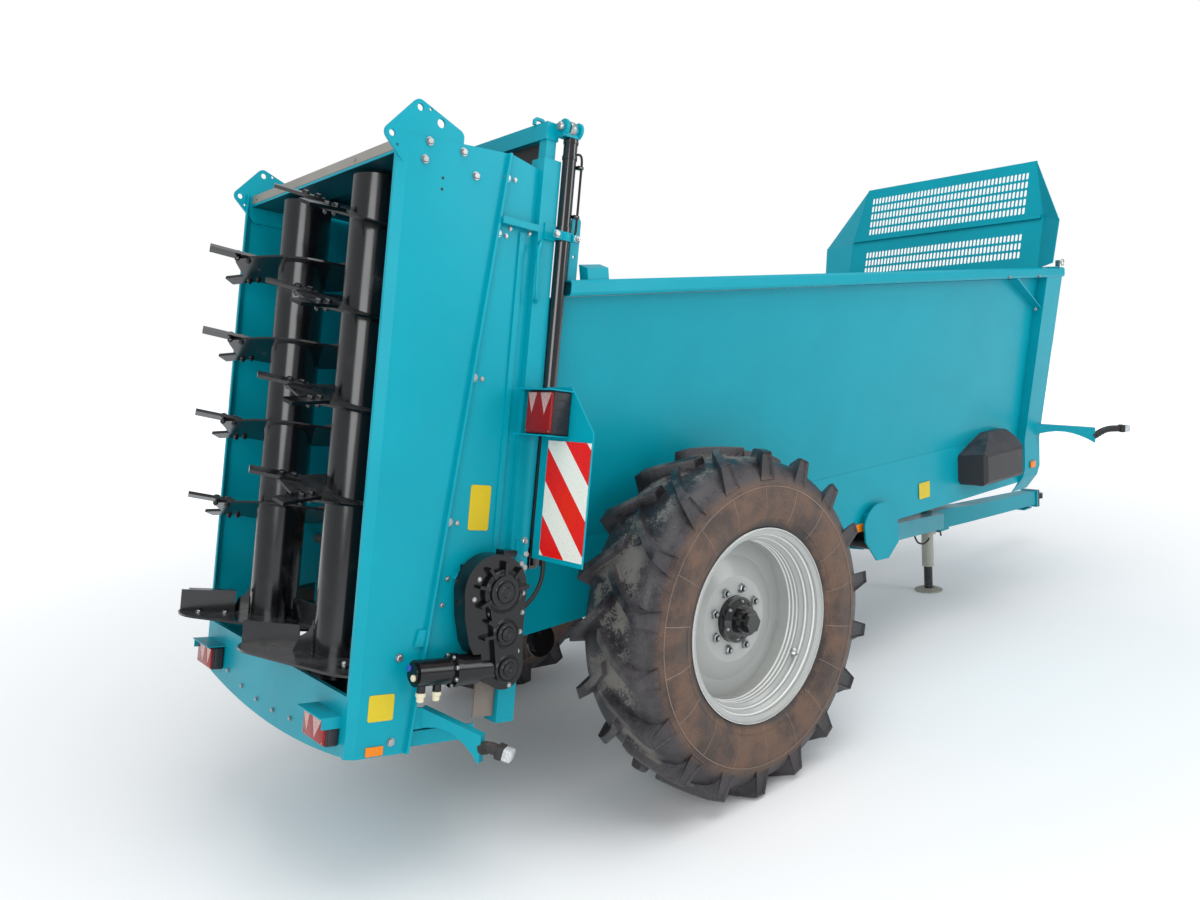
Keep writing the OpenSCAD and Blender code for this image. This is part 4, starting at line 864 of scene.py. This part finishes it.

# %% [markdown]
# The beam over the beaters has a facing of bare sheet, stained by rain, above a narrow painted
# edge. Forward of it a ceiling plate closes the space up to the door; its dark teal is painted
# shade. Mostly its underside is seen, between the beaters.

# %% Facing of the beam and ceiling plate
inside = 803
ceiling_back, ceiling_front = 209, 650
with piece("beam_facing", beam_grey) as mesh:
    block(mesh, (32.5, -inside, 2351), (37, inside, 2393.5), 1.2, 1)
with piece("beam_edge", teal) as mesh:
    block(mesh, (31.5, -inside, 2338.5), (37, inside, 2349), 1.2, 1)
bolt_row("beam_bolts", [(31.9, y, 2372) for y in (-740, -370, 370, 740)], BACK, 8)
# The ceiling plate and its ribs are teal darkened as painted shade
with piece("ceiling_plate", painted_shade_teal) as mesh:
    block(mesh, (ceiling_back, -inside, 2376), (ceiling_front, inside, 2382), 1.5, 1)
    for y in (-400, 400):
        block(mesh, (215, y - 3, 2352), (640, y + 3, 2378), 1, 1)
print("beam faced, ceiling", ceiling_front - ceiling_back, "mm deep")

# %% [markdown]
# ## Lamps and boards
# Each lamp is a black moulded housing with a red lens let into it, and two pale wedges of
# reflector show through the lens. The housing is a rounded block with a frame that stands
# proud, and the lens is a second, softer block inside the frame.

# %% Lamp housings and lenses
def lamp_pair(name, node, low, high, wedges):
    """Housing, lens, wedges and screws of a lamp whose lens faces back at low's w, and its twin."""
    (w0, y0, u0), (w1, y1, u1) = low, high
    with pair(name + "_housings", black_plastic) as mesh:
        block(mesh, (w0 + 16, y0, u0), (w1, y1, u1), 9, 3)
        block(mesh, (w0 + 9, y0 + 1, u0 + 1), (w0 + 22, y1 - 1, u1 - 1), 4, 2)
        for rib in range(4):
            u = u0 + (u1 - u0) * (rib + 1) / 5
            block(mesh, (w0 + 26, y0 - 1.5, u - 3), (w1 - 8, y1 + 1.5, u + 3), 1, 1)
    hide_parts(node)
    with pair(name + "_lenses", red_lens) as mesh:
        block(mesh, (w0, y0 + 5, u0 + 5), (w0 + 14, y1 - 5, u1 - 5), 5, 3)
    with pair(name + "_wedges", pale_lens) as mesh:
        facing = Matrix(((0, 0, -1, w0 + 0.2), (1, 0, 0, 0), (0, 1, 0, 0), (0, 0, 0, 1)))
        for points in wedges:
            plate(mesh, points, 0.8, 0, facing)
    with pair(name + "_screws", zinc) as mesh:
        for y in (y0 + 13, y1 - 13):
            turned(mesh, [(0, 0), (4, 0), (4, 1.5), (0, 2)], 10, aimed((w0 + 0.6, y, u0 + 14), BACK))
    print(name, "lens", round(y1 - y0), "by", round(u1 - u0), "mm")


lamp_pair("high_lamp", "high_lamps", (632, -1075, 1297.3), (729.7, -897, 1477.7),
          [[(-908, 1468), (-966, 1468), (-938, 1384)], [(-992, 1468), (-1064, 1468), (-1024, 1380)]])
lamp_pair("low_lamp", "low_lamps", (-64, -749, 38), (-0.3, -546, 143),
          [[(-556, 136), (-610, 136), (-592, 62)], [(-640, 136), (-718, 136), (-664, 56)]])

# %% [markdown]
# The marker arms end in a bent rubber stalk with a small lamp on its end: black at its root,
# clear at its tip. The stalk is a tube along the bend, and covers the plain bar of the solid
# model. Amber reflectors and blank plates sit on the body's sides.

# %% Stalks of the marker arms, and plates of the body
def stalks(name, points, place):
    """A pair of stalks that start, bend and end at three points."""
    start, bend, end = (Vector(p) for p in points)
    ahead = (end - bend).normalized()
    with pair(name + "_stalks", hose_rubber, place) as mesh:
        path = smooth_path([start, start.lerp(bend, 0.75), bend.lerp(end, 0.3), end + ahead * 6], 5)
        bent_rod(mesh, path, 23.5, 14)
        for step in range(3):
            centre = start.lerp(bend, 0.15 + 0.22 * step)
            turned(mesh, [(20, 0), (25.5, 2), (25.5, 6), (20, 8)], 14, aimed(centre, bend - start))
        block(mesh, (-31, -27, -6), (31, 27, 26), 6, 2, aimed(end, ahead))
    with pair(name + "_lenses", clear_lens, place) as mesh:
        block(mesh, (-28, -24, 14), (28, 24, 62), 8, 3, aimed(end, ahead))
    print(name, "stalk", round((end - start).length), "mm long")


stalks("rear_marker", [(462, -1026, 50), (484, -1062, 62), (506, -1090, 54)], rear)
stalks("front_marker", [(3956, -1046, 1214), (4010, -1110, 1264), (4080, -1180, 1262)], machine)
with pair("body_amber_reflectors", amber_lens, machine) as mesh:
    for x, y, z in ((3681, -722.2, 1024), (1579, -670, 924)):
        plate(mesh, rounded_outline(x - 36, x + 36, z - 24, z + 24, 5), 7, 1.5, on_right(y))
with pair("body_blank_plates", yellow_sheet, machine) as mesh:
    plate(mesh, rounded_outline(2246, 2372, 990, 1096, 6), 1.6, 0, on_right(-670.2))

# %% [markdown]
# ## Door and its cylinders
# Each rod is polished, and ends in an eye between two plates of the door's beam. A pin with a
# head and a nut holds it, with a ring on either side. These rise with the door. The barrel
# stays on the machine, with a clamp round its top and a steel pipe down its side. Between the
# beam and the top of the panel a dark sheet rises with the door.

# %% Pins, rings, clamps, pipes and flap
rod_w, rod_y = 772, -860
pin_y, pin_u = -872, 2600
with pair("rod_rings", teal, rear, "door") as mesh:
    for w in (714, 788):
        turned(mesh, [(12, 0), (33, 0), (36, 2), (36, 12), (33, 14), (12, 14)], 30,
               aimed((w, pin_y, pin_u), FORWARD))
with pair("rod_pins", zinc, rear, "door") as mesh:
    turned(mesh, [(0, 0), (17, 0), (19, 3), (19, 16), (15, 20), (0, 20)], 24,
           aimed((712, pin_y, pin_u), BACK))
    turned(mesh, [(12, 0), (29, 1), (31, 6), (31, 24), (29, 29), (12, 30)], 30,
           aimed((740, pin_y, pin_u), FORWARD))
    nut(mesh, aimed((802, pin_y, pin_u), FORWARD), 14)
# A dark sheet fills the gap between the beam and the top of the panel
with pair("door_flap", hose_rubber, rear, "door") as mesh:
    block(mesh, (684.6, -752, 2332), (688.6, 0.5, 2544), 1, 1)
with pair("polished_rods", chrome, rear, "door") as mesh:
    turned(mesh, [(17.5, 862), (18.4, 863), (18.4, 2575), (17.5, 2576)], 28, shift(rod_w, rod_y, 0))

with pair("cylinder_clamps", teal) as mesh:
    block(mesh, (694, -898, 2126), (744, -884, 2162), 3, 2)
    block(mesh, (800, -896, 2128), (838, -882, 2160), 3, 2)
    turned(mesh, [(30.5, 0), (37, 0), (38, 2), (38, 34), (37, 36), (30.5, 36)], 32,
           shift(rod_w, rod_y, 2126))
with pair("clamp_screws", zinc) as mesh:
    bolt(mesh, aimed((712, -898, 2144), RIGHT), 14)
    nut(mesh, aimed((822, -896, 2144), RIGHT), 13)
with pair("cylinder_pipes", gloss_black) as mesh:
    bent_rod(mesh, smooth_path([(790, -872, 2498), (806, -884, 2502), (817, -888, 2480), (818, -888, 2400),
                                (818, -888, 2250), (817, -886, 2162), (808, -876, 2140)], 5), 5.5, 10)
    for u in (2440, 2230):
        block(mesh, (796, -896, u), (826, -868, u + 14), 3, 2)
with pair("barrel_rings", gloss_black) as mesh:
    for u in (2474, 2541):
        turned(mesh, [(29.5, 0), (33, 1), (33, 15), (29.5, 16)], 30, shift(rod_w, rod_y, u))
print("rods", 2576 - 862, "mm long")

# %% [markdown]
# ## Floor drive
# The gearbox is an oiled casting. Turned ridges ring its three bearing covers, a few bolts
# hold its edge, a plug closes each oil hole, and the motor brings two hose fittings with
# their caps.

# %% Rings, bolts, plugs and fittings of the floor drive
cover_y = -850.3 - 104
motor_y, motor_u = -900.3, 335
with piece("gearbox_rings", casting) as mesh:
    for w, u, cover_r in ((565, 650, 92), (590, 480, 62), (612, 335, 58)):
        for share, lift in ((0.93, 0), (0.84, 0), (0.50, 9), (0.22, 15)):
            r = cover_r * share
            turned(mesh, [(r - 4, 0), (r - 1.5, 3), (r + 1.5, 3), (r + 4, 0)], 40,
                   aimed((w, cover_y + 0.5 - lift, u), RIGHT))
seam_y = cover_y + 20.2
edge = ((672, 640), (676, 560), (672, 480), (668, 400), (662, 320), (640, 262), (452, 700), (436, 620))
bolt_row("gearbox_bolts", [(w, seam_y, u) for w, u in edge], RIGHT, 9, degrees=11)
bolt_row("oil_plugs", [(w, seam_y, u) for w, u in ((520, 560), (560, 395))], RIGHT, 12)
with piece("motor_port_caps", cream_plastic) as mesh:
    for w in (250, 320):
        turned(mesh, [(0, 0), (19, 0), (20, 2), (20, 14), (15, 18), (15, 34), (12, 37), (0, 37)], 20,
               aimed((w, motor_y, 258), DOWN))
for name, material, y, u in (("motor_plug_upper", blue_plastic, -880, 352),
                             ("motor_plug_lower", cream_plastic, -918, 322)):
    with piece(name, material) as mesh:
        turned(mesh, [(0, 0), (13, 0), (13, 8), (9, 11), (0, 11)], 16, aimed((205, y, u), BACK))
angles = [math.radians(45 * (step + 0.5)) for step in range(8)]
flange = [(374, motor_y + 60 * math.cos(a), motor_u + 60 * math.sin(a)) for a in angles]
bolt_row("motor_bolts", flange, BACK, 9)
print("floor drive's cover at y =", round(cover_y, 1), "mm")

# %% [markdown]
# ## Beaters
# The blades wear out and are changed, so each is held by two bolts through the flight. Their
# places follow the way the beater is made: up the tube by the flights' pitch, round by the
# flight's turn, over by its tilt, and out along the blade.

# %% Bolts through every blade
beater_w, beater_y, flight_pitch, flight_tilt = 150, 372, 385, -20
# Side, sense of its turning, height and turn of the first flight and of the disc
for side, mirror, first_u, turn, disc_u, disc_turn in (("right", 1, 990, 183, 310, 140),
                                                       ("left", -1, 820, 142, 340, 160)):
    with piece(f"blade_bolts_{side}", black_enamel, rear, f"beater_{side}") as mesh:
        for row in range(4):
            flight = (shift(beater_w, -mirror * beater_y, first_u + row * flight_pitch) @ spin(turn)
                      @ Matrix.Scale(mirror, 4, (0, 1, 0)) @ spin(flight_tilt, "X"))
            for angle in (-21, 21, 159, 201):
                arm = flight @ spin(angle)
                for along in (250, 300):
                    bolt(mesh, arm @ shift(along, 0, 23.2), 15)
                    nut(mesh, arm @ shift(along, 0, 0.2) @ spin(180, "X"), 12)
    with piece(f"disc_bolts_{side}", zinc, rear, f"beater_{side}") as mesh:
        for corner in range(3):
            spot = shift(beater_w, -mirror * beater_y, disc_u) @ spin(disc_turn + 120 * corner)
            for along in (215, 330):
                bolt(mesh, spot @ shift(along, -34 * mirror, 0), 13)
print("blade bolts:", 2 * 4 * 4 * 2)

# %% [markdown]
# ## Floor chains
# The solid model has each chain as one bar. Real ones are round links, every second one lying
# flat. A link is a short bent rod that closes on itself, stamped along both strands.

# %% Chain links over the plain strands
def link_shape(wire, pitch, wide):
    mesh = bmesh.new()
    half, r = pitch / 2 - wide / 2 + wire, wide / 2 - wire / 2
    angles = [k * math.pi / 5 for k in range(6)]
    path = [Vector((half + r * math.sin(a), r * math.cos(a), 0)) for a in angles]
    path += [-p for p in path]
    rings = []
    for index, p in enumerate(path):
        ahead = path[(index + 1) % len(path)] - path[index - 1]
        ring = bmesh.ops.create_circle(mesh, segments=6, radius=wire / 2, matrix=aimed(p, ahead))
        rings.append(ring["verts"])
    for first, second in zip(rings, rings[1:] + rings[:1]):
        bridge(mesh, first, second)
    face_out(mesh)
    return to_data(mesh, "link")


link = link_shape(12, 56, 42)
strand_start, strand_end, chain_y, chain_z, link_step = -1090, 3560, 430, 1284, 44
links = int((strand_end - strand_start) / link_step)
with piece("floor_chain_links", worn_floor, machine) as mesh:
    for side in (-1, 1):
        for step in range(links):
            spot = shift(strand_start + link_step * step, side * chain_y, chain_z)
            stamp(mesh, link, spot @ spin(90 * (step % 2), "X"))
print("links on the floor:", 2 * links)

# %% [markdown]
# ## Body, skirt and jack
# What is left is small: the bolts along the skirt and on the body's rail, the pin and its ring
# at the screen's wing, and the hose, handle and foot rim of the jack.

# %% Skirt and rail bolts, screen pins and jack trim
jack_x = 3410
# The skirt's lower edge rises towards its ends, and its bolts follow it
curved = [(0, side * y, 6 + 44 * (y / 475) ** 2) for y in (95, 285, 475) for side in (-1, 1)]
bolt_row("skirt_bolts", curved, BACK, 11)
with pair("screen_pins", zinc, machine) as mesh:
    block(mesh, (3744, -905, 2450), (3752, -872, 2506), 2, 1)
    turned(mesh, [(0, 0), (16, 0), (16, 8), (9, 10), (9, 46), (0, 46)], 16,
           aimed((3752, -890, 2490), FORWARD))
    angles = [k * math.tau / 12 for k in range(13)]
    bent_rod(mesh, [Vector((3820 + 22 * math.cos(a), -890, 2490 + 22 * math.sin(a))) for a in angles], 4, 8)
on_rail = [(3030, -901.2, 2398), (3443, -901.2, 2398), (3466, -858.5, 2171)]
bolt_row("rail_bolts", on_rail, RIGHT, 11, pair, machine)
with piece("jack_handle", black_enamel, machine) as mesh:
    handle = [(0, -52, 500), (18, -84, 498), (30, -96, 478), (36, -98, 448)]
    bent_rod(mesh, smooth_path([(jack_x + x, y, z) for x, y, z in handle], 5), 7, 10)
    turned(mesh, [(0, 0), (11, 0), (11, 20), (0, 20)], 16, aimed((jack_x, -35, 500), RIGHT))
    for z in (340, 405):
        turned(mesh, [(36, 0), (40, 1), (40, 7), (36, 8)], 26, shift(jack_x, 0, z))
foot_low, foot_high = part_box("jack_leg")
foot_r = (foot_high[1] - foot_low[1]) / 2 / MM
with piece("jack_foot_rim", barrel_grey, machine, "jack_leg") as mesh:
    outside = foot_r + 1.5
    turned(mesh, [(50, 26), (foot_r - 2, 11), (outside, 9), (outside, 1)], 40, shift(jack_x, 0, 0))
print("jack foot radius", round(foot_r), "mm")
hose("jack_hose", [(3130, -60, 560), (3136, -62, 500), (3180, -62, 440), (3260, -60, 415),
                   (3320, -56, 424), (3352, -50, 438)], 14, machine)
